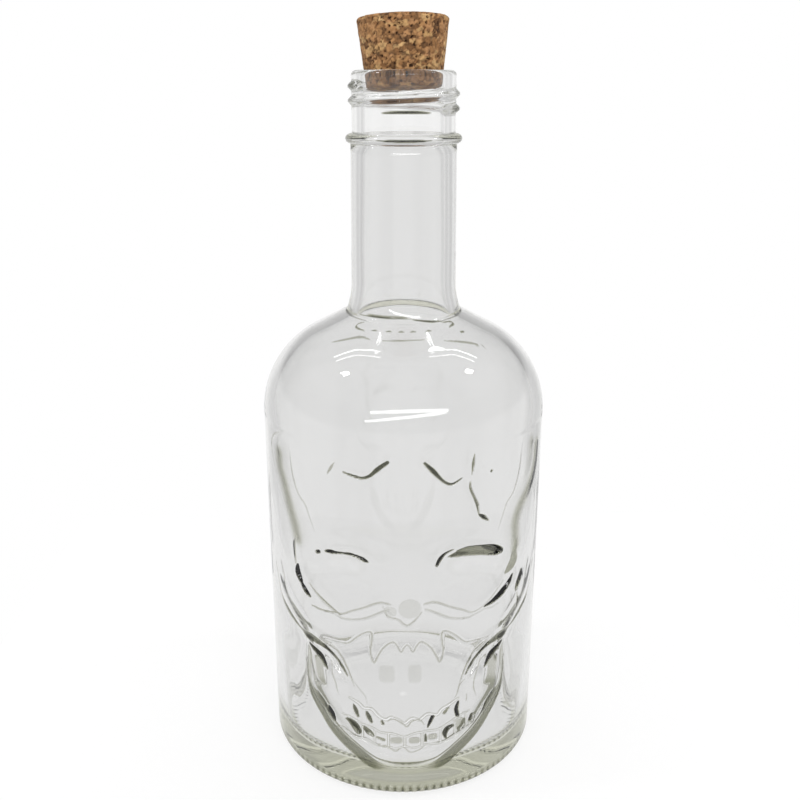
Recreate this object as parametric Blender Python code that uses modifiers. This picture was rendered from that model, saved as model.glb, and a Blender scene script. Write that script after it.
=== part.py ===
"""Clear glass bottle with a skull moulded in its wall, closed by a tapered cork.

Metres, +Z up. The bottle stands on z = 0, its axis is the Z axis and its face looks
along -Y. The back of the body is plain.
"""

import math

import bpy
import numpy as np

MM = 0.001

# Body of the bottle
BODY_RADIUS = 44.2 * MM
BODY_STRAIGHT_HEIGHT = 116.0 * MM
WALL = 3.3 * MM
HEEL_RADIUS = 3.0 * MM
FOOT_RING_WIDTH = 4.0 * MM
PUSH_UP_RISE = 4.0 * MM
FLOOR_EDGE_HEIGHT = 7.5 * MM
FLOOR_DOME_RISE = 2.5 * MM
FLOOR_CORNER_RADIUS = 5.0 * MM

# Shoulder and neck
SHOULDER_RADIUS = 28.4 * MM
SHOULDER_TURN = math.radians(62.0)
NECK_CORNER_RADIUS = 2.5 * MM
NECK_FLARE_RADIUS = 24.3 * MM
NECK_FLARE_TURN = math.radians(19.0)
NECK_RADIUS = 15.95 * MM
NECK_TOP_RADIUS = 15.65 * MM
NECK_LENGTH = 40.5 * MM

# Screw finish, with heights measured down from the lip
FINISH_HEIGHT = 20.3 * MM
FINISH_RADIUS = 15.2 * MM
BORE_RADIUS = 11.9 * MM
BORE_LENGTH = 14.0 * MM
BORE_TAPER_LENGTH = 38.0 * MM
LIP_OUTER_ROUND = 1.5 * MM
LIP_INNER_ROUND = 0.8 * MM
BEAD_RADIUS = 17.15 * MM
BEAD_THICKNESS = 3.0 * MM
THREAD_RADIUS = 16.3 * MM
THREAD_PITCH = 4.05 * MM
THREAD_WIDTH = 2.5 * MM
THREAD_TURNS = 1.75
THREAD_END_BELOW_LIP = 3.9 * MM
THREAD_START_ANGLE = math.radians(-50.0)
THREAD_RUN_OUT_TURNS = 0.12

# Ring of thicker glass inside the root of the neck
ROOT_RING_RISE = 0.4 * MM
ROOT_RING_WIDTH = 0.8 * MM
ROOT_RING_WAVES = 7
ROOT_RING_WAVINESS = 0.3

# Cork
CORK_LENGTH = 20.0 * MM
CORK_INSERTION = 5.0 * MM
CORK_TAPER = math.radians(6.6)
CORK_MOUTH_GAP = 0.35 * MM
CORK_EDGE_ROUND = 0.7 * MM
CORK_CROWN = 1.0 * MM
CORK_LEAN_LEFT = math.radians(1.2)
CORK_LEAN_BACK = math.radians(4.0)

# Depths of the moulded face below the plain wall, and where it fades out
HEAD_LEVEL = 0.5 * MM
GROOVE_DEPTH = 1.9 * MM
GROOVE_EDGE = 2.6 * MM
SOCKET_DEPTH = 1.6 * MM
CHEEK_DEPTH = 1.0 * MM
BROW_RISE = 0.4 * MM
NOSE_TIP_RISE = 0.5 * MM
TEMPLE_DEPTH = 0.4 * MM
TEMPLE_WIDTH = 2.2 * MM
HEEL_FADE = 4.0 * MM
FACE_FADE_START = 92.0 * MM
FACE_FADE_END = 115.0 * MM
SIDE_FADE_WIDTH = 26.0 * MM
FACE_HALF_WIDTH = 66.0 * MM

# Fineness of the turned surfaces before they are thinned out
TURN_STEPS = 480
CORK_STEPS = 40
FACE_ROW = 0.5 * MM
INSIDE_ROW = 2.0 * MM
THREAD_ROW = 0.5 * MM
COARSE_ROW = 4.0 * MM
ARC_POINTS = 13
CORK_ARC_POINTS = 4
BOTTLE_TRIANGLES = 11600
MERGE = 0.00001

# Outlines of the face, drawn on the unrolled wall in millimetres: across from the
# middle of the face, then up from the foot. Each is one half or one side.
HEAD_HALF = [(0, 8.6), (6.6, 9.3), (11.6, 11.0), (15.9, 13.3), (20, 16.2), (23.8, 19.2), (27.2, 22.7),
             (30.3, 25.9), (33.4, 28.9), (35.5, 33.1), (36, 37.7), (36.2, 42.3), (36.3, 46.5),
             (38.2, 49.9), (41.4, 52.0), (45.8, 55.0), (51, 60), (56, 67), (61, 76), (68, 90),
             (72, 104), (74, 120)]
SOCKET = [(8.2, 77), (10.4, 81.8), (15.5, 84.1), (21, 84.4), (27, 83), (33, 80), (37.5, 76),
          (37.5, 72), (34.5, 68.5), (30, 65.5), (24, 63.9), (18, 64.3), (12.5, 66.4),
          (8, 69.5), (7, 73)]
CHEEK = [(33, 50), (26.5, 50), (22.5, 46.5), (19.4, 42), (17.6, 38), (19.5, 35), (23, 34),
         (27.5, 35), (30.5, 39), (31.5, 45)]
BROW = [(9, 85.5), (16, 88.4), (23, 88.4), (30, 86), (35, 83.5)]
TEMPLE = [(52, 110), (47.6, 104.5), (43.2, 98.7), (40.0, 92.5), (37.4, 86.5), (36.4, 82), (36.8, 77)]

# Strokes cut into the face: runs of (across, up, half width) in millimetres
ORBIT_MARK_LEFT = [(-38.5, 73.2, 0.4), (-37.2, 71.2, 0.8), (-36.0, 69.6, 0.7), (-35.0, 68.0, 0.35),
                   (-33.8, 66.7, 0.6), (-32.4, 65.8, 0.5), (-31.0, 65.0, 0.2)]
ORBIT_MARK_RIGHT = [(37.4, 70.2, 0.3), (35.6, 68.0, 0.9), (32.6, 66.0, 1.1), (28.8, 64.4, 0.8),
                    (25.2, 63.6, 0.3)]
ARCH_MARK = [(43.4, 69.2, 0.5), (42.2, 66.3, 0.9), (40.6, 63.3, 0.4)]
ZYGOMA_EDGE = [(52.0, 64.5, 0.4), (48.8, 59.6, 0.7), (45.0, 55.4, 0.9), (40.6, 52.9, 1.1), (36, 51.4, 1.3),
               (31, 50.9, 1.2), (27.2, 49.9, 0.9)]
CHEEK_OUTER_LINE = [(27.2, 49.9, 0.8), (24.4, 48.5, 0.6), (22.3, 46.9, 0.5), (20.6, 44.7, 0.55),
                    (18.8, 41.8, 0.35)]
JAW_TIP_MARK = [(33.2, 48.6, 0.3), (31.0, 47.1, 0.6), (29.0, 45.3, 0.85), (27.8, 43.0, 0.75),
                (26.8, 41, 0.3)]
LEFT_LID = [(-25.4, 82.7, 0.4), (-24, 83.0, 0.6), (-22, 83.2, 0.5), (-19.8, 83.4, 0.4),
            (-17.4, 83.6, 0.45), (-15.1, 83.2, 0.55), (-13.2, 82.6, 0.7), (-11.7, 82.0, 0.25)]
LEFT_LID_DOT = [(-28.9, 81.4, 0.45), (-28.3, 81.6, 0.45)]
RIGHT_LID_TAIL = [(8.9, 80.6, 0.35), (9.9, 82.5, 0.5), (11.2, 83.7, 0.35), (13.5, 84.9, 0.3)]
RIGHT_LID = [(12.3, 82.8, 0.4), (14.6, 83.4, 0.9), (18, 83.6, 1.2), (21.8, 83.3, 1.5),
             (26.2, 82.3, 1.6), (29.4, 80.9, 1.1), (31.4, 79.8, 0.5)]
WRINKLE_LEFT = [(-18.8, 109.4, 0.3), (-15.9, 108.7, 0.5), (-13.0, 108.3, 0.55), (-10.7, 109.2, 0.6),
                (-8.4, 111.4, 0.8), (-5.6, 113.6, 0.65)]
WRINKLE_RIGHT = [(4.8, 113.3, 0.5), (7.2, 110.8, 0.8), (9.2, 108.5, 0.6), (11.1, 106.8, 0.5),
                 (13.1, 106.2, 0.5), (15.8, 107.6, 0.3)]
CRACK_TOP = [(19.7, 114.4, 0.2), (19.4, 111.7, 0.55), (19.2, 109.2, 0.35), (19.0, 107.8, 0.1)]
CRACK_MIDDLE = [(18.6, 106.3, 0.25), (18.8, 103.8, 0.5), (20.2, 100.8, 0.5), (21.4, 98.1, 0.6),
                (21.9, 95.6, 0.35), (22.4, 94.6, 0.4)]
CRACK_END = [(22.4, 94.7, 0.45), (23.8, 93.7, 0.75), (25.6, 92.2, 0.3)]

# Gaps between the teeth, from left to right, the upper row and then the lower row
UPPER_GAP_1 = [(-26.0, 28.4, 0.4), (-24.9, 26.2, 0.85), (-23.7, 24.0, 0.5)]
UPPER_GAP_2 = [(-17.1, 31.8, 0.3), (-16.3, 30.0, 0.6), (-15.3, 28.0, 0.45)]
UPPER_GAP_3 = [(-12.7, 30.1, 0.4), (-12.0, 28.4, 0.7), (-11.1, 26.8, 0.5)]
UPPER_GAP_4 = [(-7.8, 27.4, 0.35), (-7.4, 26.6, 0.5)]
UPPER_GAP_5 = [(8.2, 28.9, 0.6), (7.4, 27.1, 0.45), (6.6, 25.3, 0.4)]
UPPER_GAP_6 = [(13.2, 31.1, 0.35), (11.7, 29.4, 0.45)]
UPPER_GAP_7 = [(16.6, 32.5, 0.35), (16.0, 30.2, 0.6), (16.3, 27.4, 0.5)]
LOWER_GAP_1 = [(-19.3, 26.3, 0.3), (-17.8, 25.6, 0.7), (-16.3, 24.3, 1.0), (-15.3, 22.9, 0.9)]
LOWER_GAP_2 = [(-13.4, 24.4, 0.4), (-11.9, 23.1, 0.8), (-10.4, 21.9, 0.4)]
LOWER_GAP_3 = [(-9.4, 21.4, 0.5), (-7.2, 20.5, 0.6)]
LOWER_GAP_4 = [(5.8, 22.8, 0.3), (5.9, 20.3, 0.4)]
LOWER_GAP_5 = [(14.8, 24.2, 0.5), (12.9, 23.8, 0.65), (11.9, 22.4, 0.65), (12.3, 20.7, 0.35)]
LOWER_GAP_6 = [(21.4, 26.4, 0.45), (20.8, 24.4, 0.5)]

# Strokes with their steepness, on both sides of the face and on one side
MARKS_ON_BOTH_SIDES = (
    (ARCH_MARK, 0.5), (ZYGOMA_EDGE, 0.6), (CHEEK_OUTER_LINE, 1.0), (JAW_TIP_MARK, 1.0))
MARKS_ON_ONE_SIDE = (
    (ORBIT_MARK_LEFT, 1.1), (ORBIT_MARK_RIGHT, 1.2), (LEFT_LID, 1.1), (LEFT_LID_DOT, 1.1),
    (RIGHT_LID_TAIL, 1.1), (RIGHT_LID, 1.0), (WRINKLE_LEFT, 1.1), (WRINKLE_RIGHT, 1.1),
    (CRACK_TOP, 1.1), (CRACK_MIDDLE, 1.1), (CRACK_END, 1.1), (UPPER_GAP_1, 0.9),
    (UPPER_GAP_2, 0.9), (UPPER_GAP_3, 0.9), (UPPER_GAP_4, 0.9), (UPPER_GAP_5, 0.9),
    (UPPER_GAP_6, 0.9), (UPPER_GAP_7, 0.9), (LOWER_GAP_1, 0.9), (LOWER_GAP_2, 0.9),
    (LOWER_GAP_3, 0.6), (LOWER_GAP_4, 0.9), (LOWER_GAP_5, 0.9), (LOWER_GAP_6, 0.9))
DEEPEST_STROKE = 1.2 * MM

# Rounded hollows of the lower teeth: (across, up, half width, half height) in millimetres
LOWER_TEETH = [(-3.2, 20.7, 2.3, 1.4), (2.4, 20.7, 2.1, 1.4), (8.2, 21.5, 1.9, 1.3), (17.2, 24.3, 1.6, 2.1)]
TOOTH_HOLLOW_DEPTH = 0.5 * MM

# Tip of the nose and lines of the chin
NOSE_TIP_ACROSS = 0.1 * MM
NOSE_TIP_UP = 67.2 * MM
NOSE_TIP_WIDTH = 3.4 * MM
CHIN_LINES = (15.3 * MM, 17.6 * MM)
CHIN_LINE_DEPTH = 0.3 * MM
CHIN_CURVE = 18.0
CHIN_HALF_WIDTH = 12.0 * MM
CHIN_FADE = 4.0 * MM
CHIN_LINE_WIDTH = 0.6 * MM

# How softly the outside and the inside of the wall follow the broad forms
GRID_CELL = 0.5 * MM
OUTSIDE_SOFTEN_STEPS = 6
SPREAD_STEPS = 6
INSIDE_SOFTEN_STEPS = 96
INSIDE_SHARE = 0.8

# Looks
GLASS_COLOUR = (0.86, 0.90, 0.87, 1.0)
GLASS_ROUGHNESS = 0.03
GLASS_TRANSMISSION = 1.0
CORK_COLOUR = (0.52, 0.33, 0.18, 1.0)
CORK_ROUGHNESS = 0.85


def clear_scene():
    for old in list(bpy.data.objects):
        bpy.data.objects.remove(old, do_unlink=True)


def make_material(name, colour, roughness, transmission=0.0):
    material = bpy.data.materials.new(name)
    material.use_nodes = True
    shader = material.node_tree.nodes["Principled BSDF"]
    shader.inputs["Base Color"].default_value = colour
    shader.inputs["Roughness"].default_value = roughness
    shader.inputs["Metallic"].default_value = 0.0
    shader.inputs["Transmission Weight"].default_value = transmission
    return material


# Profiles, as lists of (radius, height)

def arc(centre, radius, start, end, count=ARC_POINTS):
    """Points on a circle from one angle to another, with angles measured up from +X."""
    angles = np.linspace(start, end, count)
    return [(centre[0] + radius * math.cos(a), centre[1] + radius * math.sin(a)) for a in angles]


def rows(start, end, step):
    """Points along a straight run, no further apart than the step, without its ends."""
    length = math.dist(start, end)
    count = max(1, math.ceil(length / step))
    return [(start[0] + (end[0] - start[0]) * i / count, start[1] + (end[1] - start[1]) * i / count)
            for i in range(1, count)]


def dome(radius, edge_height, rise, count=ARC_POINTS):
    """A shallow dome from the axis out to its edge."""
    return [(radius * i / count, edge_height + rise * (1.0 - (i / count) ** 2))
            for i in range(count + 1)]


def shoulder_root():
    """Height at which the neck begins to flare out towards the shoulder."""
    turned = (NECK_FLARE_RADIUS * (1.0 - math.cos(NECK_FLARE_TURN))
              + NECK_CORNER_RADIUS * (math.cos(NECK_FLARE_TURN) - math.cos(SHOULDER_TURN))
              + SHOULDER_RADIUS * (1.0 - math.cos(SHOULDER_TURN)))
    slope = (BODY_RADIUS - NECK_RADIUS - turned) / math.sin(SHOULDER_TURN)
    return (BODY_STRAIGHT_HEIGHT + SHOULDER_RADIUS * math.sin(SHOULDER_TURN)
            + slope * math.cos(SHOULDER_TURN)
            + NECK_CORNER_RADIUS * (math.sin(SHOULDER_TURN) - math.sin(NECK_FLARE_TURN))
            + NECK_FLARE_RADIUS * math.sin(NECK_FLARE_TURN))


NECK_ROOT_HEIGHT = shoulder_root()
FLARE_CENTRE = (NECK_RADIUS + NECK_FLARE_RADIUS, NECK_ROOT_HEIGHT)
CORNER_OFFSET = NECK_FLARE_RADIUS - NECK_CORNER_RADIUS
CORNER_CENTRE = (FLARE_CENTRE[0] - CORNER_OFFSET * math.cos(NECK_FLARE_TURN),
                 FLARE_CENTRE[1] - CORNER_OFFSET * math.sin(NECK_FLARE_TURN))
FINISH_BOTTOM = NECK_ROOT_HEIGHT + NECK_LENGTH
LIP_HEIGHT = FINISH_BOTTOM + FINISH_HEIGHT


def shoulder(inset):
    """The shoulder from the body up to the neck, moved into the glass by the inset."""
    bend = arc((BODY_RADIUS - SHOULDER_RADIUS, BODY_STRAIGHT_HEIGHT),
               SHOULDER_RADIUS - inset, 0.0, SHOULDER_TURN)
    flare = arc(FLARE_CENTRE, NECK_FLARE_RADIUS + inset, math.pi + NECK_FLARE_TURN, math.pi)[1:]
    corner = arc(CORNER_CENTRE, NECK_CORNER_RADIUS + inset,
                 math.pi + SHOULDER_TURN, math.pi + NECK_FLARE_TURN)
    return bend + rows(bend[-1], corner[0], ROOT_RING_WIDTH / 2) + corner + flare


def inside_profile():
    """The inside, from the middle of the floor up to the lip."""
    radius = BODY_RADIUS - WALL
    flat = dome(radius - FLOOR_CORNER_RADIUS, FLOOR_EDGE_HEIGHT, FLOOR_DOME_RISE)
    corner = arc((radius - FLOOR_CORNER_RADIUS, FLOOR_EDGE_HEIGHT + FLOOR_CORNER_RADIUS),
                 FLOOR_CORNER_RADIUS, -math.pi / 2, 0.0)[1:]
    upper = shoulder(WALL)
    bore_bottom = (BORE_RADIUS, LIP_HEIGHT - BORE_LENGTH)
    taper_bottom = (NECK_RADIUS - WALL, LIP_HEIGHT - BORE_LENGTH - BORE_TAPER_LENGTH)
    mouth = arc((BORE_RADIUS + LIP_INNER_ROUND, LIP_HEIGHT - LIP_INNER_ROUND),
                LIP_INNER_ROUND, math.pi, math.pi / 2)
    return (flat + corner + rows(corner[-1], upper[0], INSIDE_ROW) + upper
            + [taper_bottom, bore_bottom] + mouth)


def outside_profile():
    """The outside, from the lip down to the foot and in to the middle of the push-up."""
    lip = arc((FINISH_RADIUS - LIP_OUTER_ROUND, LIP_HEIGHT - LIP_OUTER_ROUND),
              LIP_OUTER_ROUND, math.pi / 2, 0.0)
    bead_middle = FINISH_BOTTOM + BEAD_THICKNESS / 2
    bead = [(FINISH_RADIUS + (BEAD_RADIUS - FINISH_RADIUS) * math.sin(a),
             bead_middle + BEAD_THICKNESS / 2 * math.cos(a))
            for a in np.linspace(0.0, math.pi, ARC_POINTS)]
    neck_top = (NECK_TOP_RADIUS, FINISH_BOTTOM - MERGE)
    upper = shoulder(0.0)[::-1]
    heel_centre = (BODY_RADIUS - HEEL_RADIUS, HEEL_RADIUS)
    heel = arc(heel_centre, HEEL_RADIUS, 0.0, -math.pi / 2)
    foot_inside = BODY_RADIUS - HEEL_RADIUS - FOOT_RING_WIDTH
    return (lip + rows(lip[-1], bead[0], THREAD_ROW) + bead
            + [neck_top] + rows(neck_top, upper[0], COARSE_ROW) + upper
            + rows(upper[-1], heel[0], FACE_ROW) + heel
            + dome(foot_inside, 0.0, PUSH_UP_RISE)[::-1])


def turn(name, profile, steps, collection):
    """A closed solid turned from a profile that starts and ends on the axis."""
    mesh = bpy.data.meshes.new(name + "_profile")
    points = [(radius, 0.0, height) for radius, height in profile]
    mesh.from_pydata(points, [(i, i + 1) for i in range(len(points) - 1)], [])
    turned = bpy.data.objects.new(name, mesh)
    collection.objects.link(turned)
    screw = turned.modifiers.new("turn", "SCREW")
    screw.axis = "Z"
    screw.angle = 2 * math.pi
    screw.steps = steps
    screw.render_steps = steps
    screw.use_merge_vertices = True
    screw.merge_threshold = MERGE
    return turned


def apply_modifiers(solid):
    """Replaces an object's mesh by what its modifiers make of it."""
    bpy.context.view_layer.update()
    depsgraph = bpy.context.evaluated_depsgraph_get()
    made = bpy.data.meshes.new_from_object(solid.evaluated_get(depsgraph))
    solid.modifiers.clear()
    solid.data = made


# Reliefs of the face, on the unrolled wall

def smooth_line(points, closed):
    """A curve in metres through points given in millimetres."""
    knots = np.array(points, float) * MM
    count = len(knots)
    made = []
    for i in range(count if closed else count - 1):
        before, here, there, after = [
            knots[j % count if closed else min(max(j, 0), count - 1)] for j in range(i - 1, i + 3)]
        for t in (0.0, 0.25, 0.5, 0.75):
            made.append(0.5 * (2 * here + (there - before) * t
                               + (2 * before - 5 * here + 4 * there - after) * t ** 2
                               + (3 * here - before - 3 * there + after) * t ** 3))
    if not closed:
        made.append(knots[-1])
    return np.array(made)


def whole(half):
    """Both halves of an outline that is the same left and right."""
    other = [(-across, up) for across, up in half[::-1] if across > 0]
    return half + other


def line_distance(across, up, line):
    """Distance of each point from a run of straight pieces."""
    nearest = np.full(across.shape, np.inf)
    for (ax, ay), (bx, by) in zip(line[:-1], line[1:]):
        dx, dy = bx - ax, by - ay
        along = np.clip(((across - ax) * dx + (up - ay) * dy) / (dx * dx + dy * dy), 0.0, 1.0)
        nearest = np.minimum(nearest, np.hypot(across - ax - along * dx, up - ay - along * dy))
    return nearest


def inside_distance(across, up, outline):
    """Distance of each point from a closed outline, positive inside it."""
    ring = np.vstack([outline, outline[:1]])
    crossings = np.zeros(across.shape, int)
    for (ax, ay), (bx, by) in zip(ring[:-1], ring[1:]):
        if ay == by:
            continue
        spans = (ay > up) != (by > up)
        crossings += spans & (across < (bx - ax) * (up - ay) / (by - ay) + ax)
    return np.where(crossings % 2 == 1, 1.0, -1.0) * line_distance(across, up, ring)


def fade(distance, width):
    """Rises smoothly from 0 to 1 over the width."""
    t = np.clip(distance / width, 0.0, 1.0)
    return t * t * (3.0 - 2.0 * t)


def bell(distance, width):
    return np.exp(-(distance / width) ** 2)


def head_depth(across, up):
    """The head stands in a groove that runs round its jaw and cheek bones."""
    inside = inside_distance(across, up, smooth_line(whole(HEAD_HALF), True))
    slope_out = 6.0 * MM
    shallow_start, shallow_width = 34.0 * MM, 24.0 * MM
    groove = HEAD_LEVEL + (GROOVE_DEPTH - HEAD_LEVEL) * (
        1.0 - fade(np.abs(across) - shallow_start, shallow_width))
    edge = np.clip(inside / GROOVE_EDGE, 0.0, 1.0)
    within = HEAD_LEVEL + (groove - HEAD_LEVEL) * (1.0 - edge)
    return np.where(inside > 0, within, groove * bell(inside, slope_out))


def broad_forms():
    """Depths of the large forms on a square grid of the unrolled wall."""
    columns = np.arange(-FACE_HALF_WIDTH, FACE_HALF_WIDTH + GRID_CELL, GRID_CELL)
    heights = np.arange(0.0, FACE_FADE_END + GRID_CELL, GRID_CELL)
    across, up = np.meshgrid(columns, heights)
    side = np.abs(across)
    socket_slope, cheek_slope, brow_width = 9.0 * MM, 4.0 * MM, 3.0 * MM
    socket = SOCKET_DEPTH * fade(inside_distance(side, up, smooth_line(SOCKET, True)), socket_slope)
    cheek = CHEEK_DEPTH * fade(inside_distance(side, up, smooth_line(CHEEK, True)), cheek_slope)
    brow = BROW_RISE * bell(line_distance(side, up, smooth_line(BROW, False)), brow_width)
    level = head_depth(across, up) + socket + cheek - brow
    return np.maximum(level, 0.0) * below_shoulder(up) * fade(up - HEEL_RADIUS, HEEL_FADE)


def below_shoulder(up):
    """1 on the face, falling to 0 where the shoulder begins."""
    return 1.0 - fade(up - FACE_FADE_START, FACE_FADE_END - FACE_FADE_START)


def stroke_reach(across, up, stroke):
    """How far inside a stroke, whose half width changes along its line, each point lies."""
    line = smooth_line(stroke, False)
    reach = line[:, 2].max()
    near = (across > line[:, 0].min() - reach) & (across < line[:, 0].max() + reach)
    near &= (up > line[:, 1].min() - reach) & (up < line[:, 1].max() + reach)
    x, y = across[near], up[near]
    inside = np.zeros_like(x)
    for (ax, ay, a_width), (bx, by, b_width) in zip(line[:-1], line[1:]):
        dx, dy = bx - ax, by - ay
        along = np.clip(((x - ax) * dx + (y - ay) * dy) / (dx * dx + dy * dy), 0.0, 1.0)
        distance = np.hypot(x - ax - along * dx, y - ay - along * dy)
        inside = np.maximum(inside, a_width + (b_width - a_width) * along - distance)
    reached = np.zeros_like(across)
    reached[near] = inside
    return reached


def hollow_reach(across, up, hollows):
    """0 outside and 1 in the middle of dish-shaped hollows with a rounded square outline."""
    reached = np.zeros_like(across)
    for middle, height, half_width, half_height in hollows:
        off_middle = (((across / MM - middle) / half_width) ** 4
                      + ((up / MM - height) / half_height) ** 4) ** 0.5
        reached = np.maximum(reached, 1.0 - off_middle)
    return reached


def chin_depth(side, up):
    within = fade(CHIN_HALF_WIDTH - side, CHIN_FADE)
    curve = CHIN_CURVE * side ** 2
    lines = sum(bell(up - line - curve, CHIN_LINE_WIDTH) for line in CHIN_LINES)
    return CHIN_LINE_DEPTH * within * lines


def neighbours(depths):
    """A grid of depths moved one cell each way, left, right, down and up."""
    padded = np.pad(depths, 1, mode="edge")
    return padded[1:-1, :-2], padded[1:-1, 2:], padded[:-2, 1:-1], padded[2:, 1:-1]


def soften(depths, steps):
    for _ in range(steps):
        depths = (4 * depths + sum(neighbours(depths))) / 8
    return depths


def spread(depths, steps):
    """Lets the deep places of a grid grow wider."""
    for _ in range(steps):
        depths = np.maximum(depths, np.max(neighbours(depths), axis=0))
    return depths


def spline_shares(t):
    """Shares of four cells in a row, at a place t of the way between the middle two."""
    return ((1 - t) ** 3 / 6, (3 * t ** 3 - 6 * t ** 2 + 4) / 6,
            (3 * t ** 2 + 3 * t - 3 * t ** 3 + 1) / 6, t ** 3 / 6)


def read_grid(depths, across, up):
    """A grid of the unrolled wall read smoothly between its cells."""
    column, row = (across + FACE_HALF_WIDTH) / GRID_CELL, up / GRID_CELL
    left, low = np.floor(column).astype(int), np.floor(row).astype(int)
    total = np.zeros_like(across)
    for i, row_share in enumerate(spline_shares(row - low)):
        rows_here = np.clip(low + i - 1, 0, depths.shape[0] - 1)
        for j, column_share in enumerate(spline_shares(column - left)):
            columns_here = np.clip(left + j - 1, 0, depths.shape[1] - 1)
            total += row_share * column_share * depths[rows_here, columns_here]
    return total


BROAD_FORMS = broad_forms()
OUTSIDE_FORMS = soften(BROAD_FORMS, OUTSIDE_SOFTEN_STEPS)
INSIDE_FORMS = INSIDE_SHARE * soften(spread(BROAD_FORMS, SPREAD_STEPS), INSIDE_SOFTEN_STEPS)


def temple_reach(side, up):
    """1 along the soft valley of each temple, falling to 0 beside it."""
    return bell(line_distance(side, up, smooth_line(TEMPLE, False)), TEMPLE_WIDTH)


def fine_depth(across, up):
    """The sharp forms, which only the outside has."""
    side = np.abs(across)
    depth = chin_depth(side, up) + TEMPLE_DEPTH * temple_reach(side, up)
    depth += TOOTH_HOLLOW_DEPTH * hollow_reach(across, up, LOWER_TEETH)
    depth -= NOSE_TIP_RISE * bell(np.hypot(across - NOSE_TIP_ACROSS, up - NOSE_TIP_UP), NOSE_TIP_WIDTH)
    for marks, place in ((MARKS_ON_BOTH_SIDES, side), (MARKS_ON_ONE_SIDE, across)):
        for stroke, steepness in marks:
            depth += np.minimum(steepness * stroke_reach(place, up, stroke), DEEPEST_STROKE)
    return depth


def side_fade(across):
    """1 over the face, falling to 0 at its two sides."""
    return fade(FACE_HALF_WIDTH - np.abs(across), SIDE_FADE_WIDTH)


def outside_depth(across, up):
    """How deep the moulded face lies below the plain wall."""
    depth = read_grid(OUTSIDE_FORMS, across, up) + fine_depth(across, up)
    return np.maximum(depth, 0.0) * side_fade(across)


def inside_depth(across, up):
    """How far the inside of the wall follows the face, clear of the floor."""
    clear_of_floor = fade(up - FLOOR_EDGE_HEIGHT, 2 * FLOOR_CORNER_RADIUS)
    return read_grid(INSIDE_FORMS, across, up) * clear_of_floor * side_fade(across)


def across_face(x, y):
    """Arc length on the plain wall from the middle of the face, negative to the left."""
    return BODY_RADIUS * np.arctan2(x, -y)


def thread_rise(x, y, z):
    """Height of the one-start thread above the wall of the finish."""
    turns_up = (z - (LIP_HEIGHT - THREAD_END_BELOW_LIP)) / THREAD_PITCH + THREAD_TURNS
    turn_here = ((np.arctan2(y, x) - THREAD_START_ANGLE) / (2 * math.pi)) % 1.0
    nearest = np.round(turns_up - turn_here) + turn_here
    off_ridge = np.abs(turns_up - nearest) * THREAD_PITCH
    shape = np.cos(np.clip(off_ridge / THREAD_WIDTH, 0.0, 0.5) * math.pi)
    ends = fade(nearest, THREAD_RUN_OUT_TURNS) * fade(THREAD_TURNS - nearest, THREAD_RUN_OUT_TURNS)
    return (THREAD_RADIUS - FINISH_RADIUS) * shape * ends


# The ring sits in the corner inside the neck's root and stands out along this direction
ROOT_RING_TURN = (NECK_FLARE_TURN + SHOULDER_TURN) / 2
ROOT_RING_CENTRE = (CORNER_CENTRE[0] - (NECK_CORNER_RADIUS + WALL) * math.cos(ROOT_RING_TURN),
                    CORNER_CENTRE[1] - (NECK_CORNER_RADIUS + WALL) * math.sin(ROOT_RING_TURN))


def root_ring_rise(x, y, z):
    """A gently wavy ring of glass inside the root of the neck."""
    wave = 1.0 + ROOT_RING_WAVINESS * np.cos(ROOT_RING_WAVES * np.arctan2(x, -y))
    away = np.hypot(np.hypot(x, y) - ROOT_RING_CENTRE[0], z - ROOT_RING_CENTRE[1])
    return ROOT_RING_RISE * wave * bell(away, ROOT_RING_WIDTH)


def mould(solid):
    """Presses the face in, raises the thread and thickens the root of the neck."""
    mesh = solid.data
    flat = np.empty(len(mesh.vertices) * 3)
    mesh.vertices.foreach_get("co", flat)
    x, y, z = flat.reshape(-1, 3).T
    radius = np.hypot(x, y)
    moved = np.zeros_like(radius)
    across = across_face(x, y)
    on_face = (z > HEEL_RADIUS) & (z < FACE_FADE_END) & (np.abs(across) < FACE_HALF_WIDTH)
    outside = on_face & (radius > BODY_RADIUS - WALL / 2)
    inside = on_face & (radius > BODY_RADIUS - WALL - FLOOR_CORNER_RADIUS / 2) & ~outside
    moved[outside] = -outside_depth(across[outside], z[outside])
    moved[inside] = -inside_depth(across[inside], z[inside])
    radii, heights = np.array(shoulder(0.0)).T
    root = (z > heights[0]) & (z < heights[-1]) & (radius < np.interp(z, heights, radii) - WALL / 2)
    ring = root_ring_rise(x[root], y[root], z[root])
    moved[root] = -ring * math.cos(ROOT_RING_TURN)
    z[root] -= ring * math.sin(ROOT_RING_TURN)
    finish = (z > FINISH_BOTTOM + BEAD_THICKNESS) & (radius > FINISH_RADIUS - MERGE)
    moved[finish] = thread_rise(x[finish], y[finish], z[finish])
    scale = np.where(radius > 0, 1.0 + moved / np.maximum(radius, MERGE), 1.0)
    made = np.stack([x * scale, y * scale, z], axis=1)
    mesh.vertices.foreach_set("co", made.ravel())
    mesh.update()


def thin_out(solid, triangles):
    """Keeps triangles where the surface bends and drops them where it is plain."""
    solid.data.calc_loop_triangles()
    thin = solid.modifiers.new("thin_out", "DECIMATE")
    thin.ratio = triangles / len(solid.data.loop_triangles)
    thin.use_collapse_triangulate = True
    apply_modifiers(solid)


def lay_flat(solid):
    """Makes the foot ring and the land of the lip exactly flat."""
    near = 0.02 * MM
    for vertex in solid.data.vertices:
        if vertex.co.z < near:
            vertex.co.z = 0.0
        if vertex.co.z > LIP_HEIGHT - near:
            vertex.co.z = LIP_HEIGHT


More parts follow.
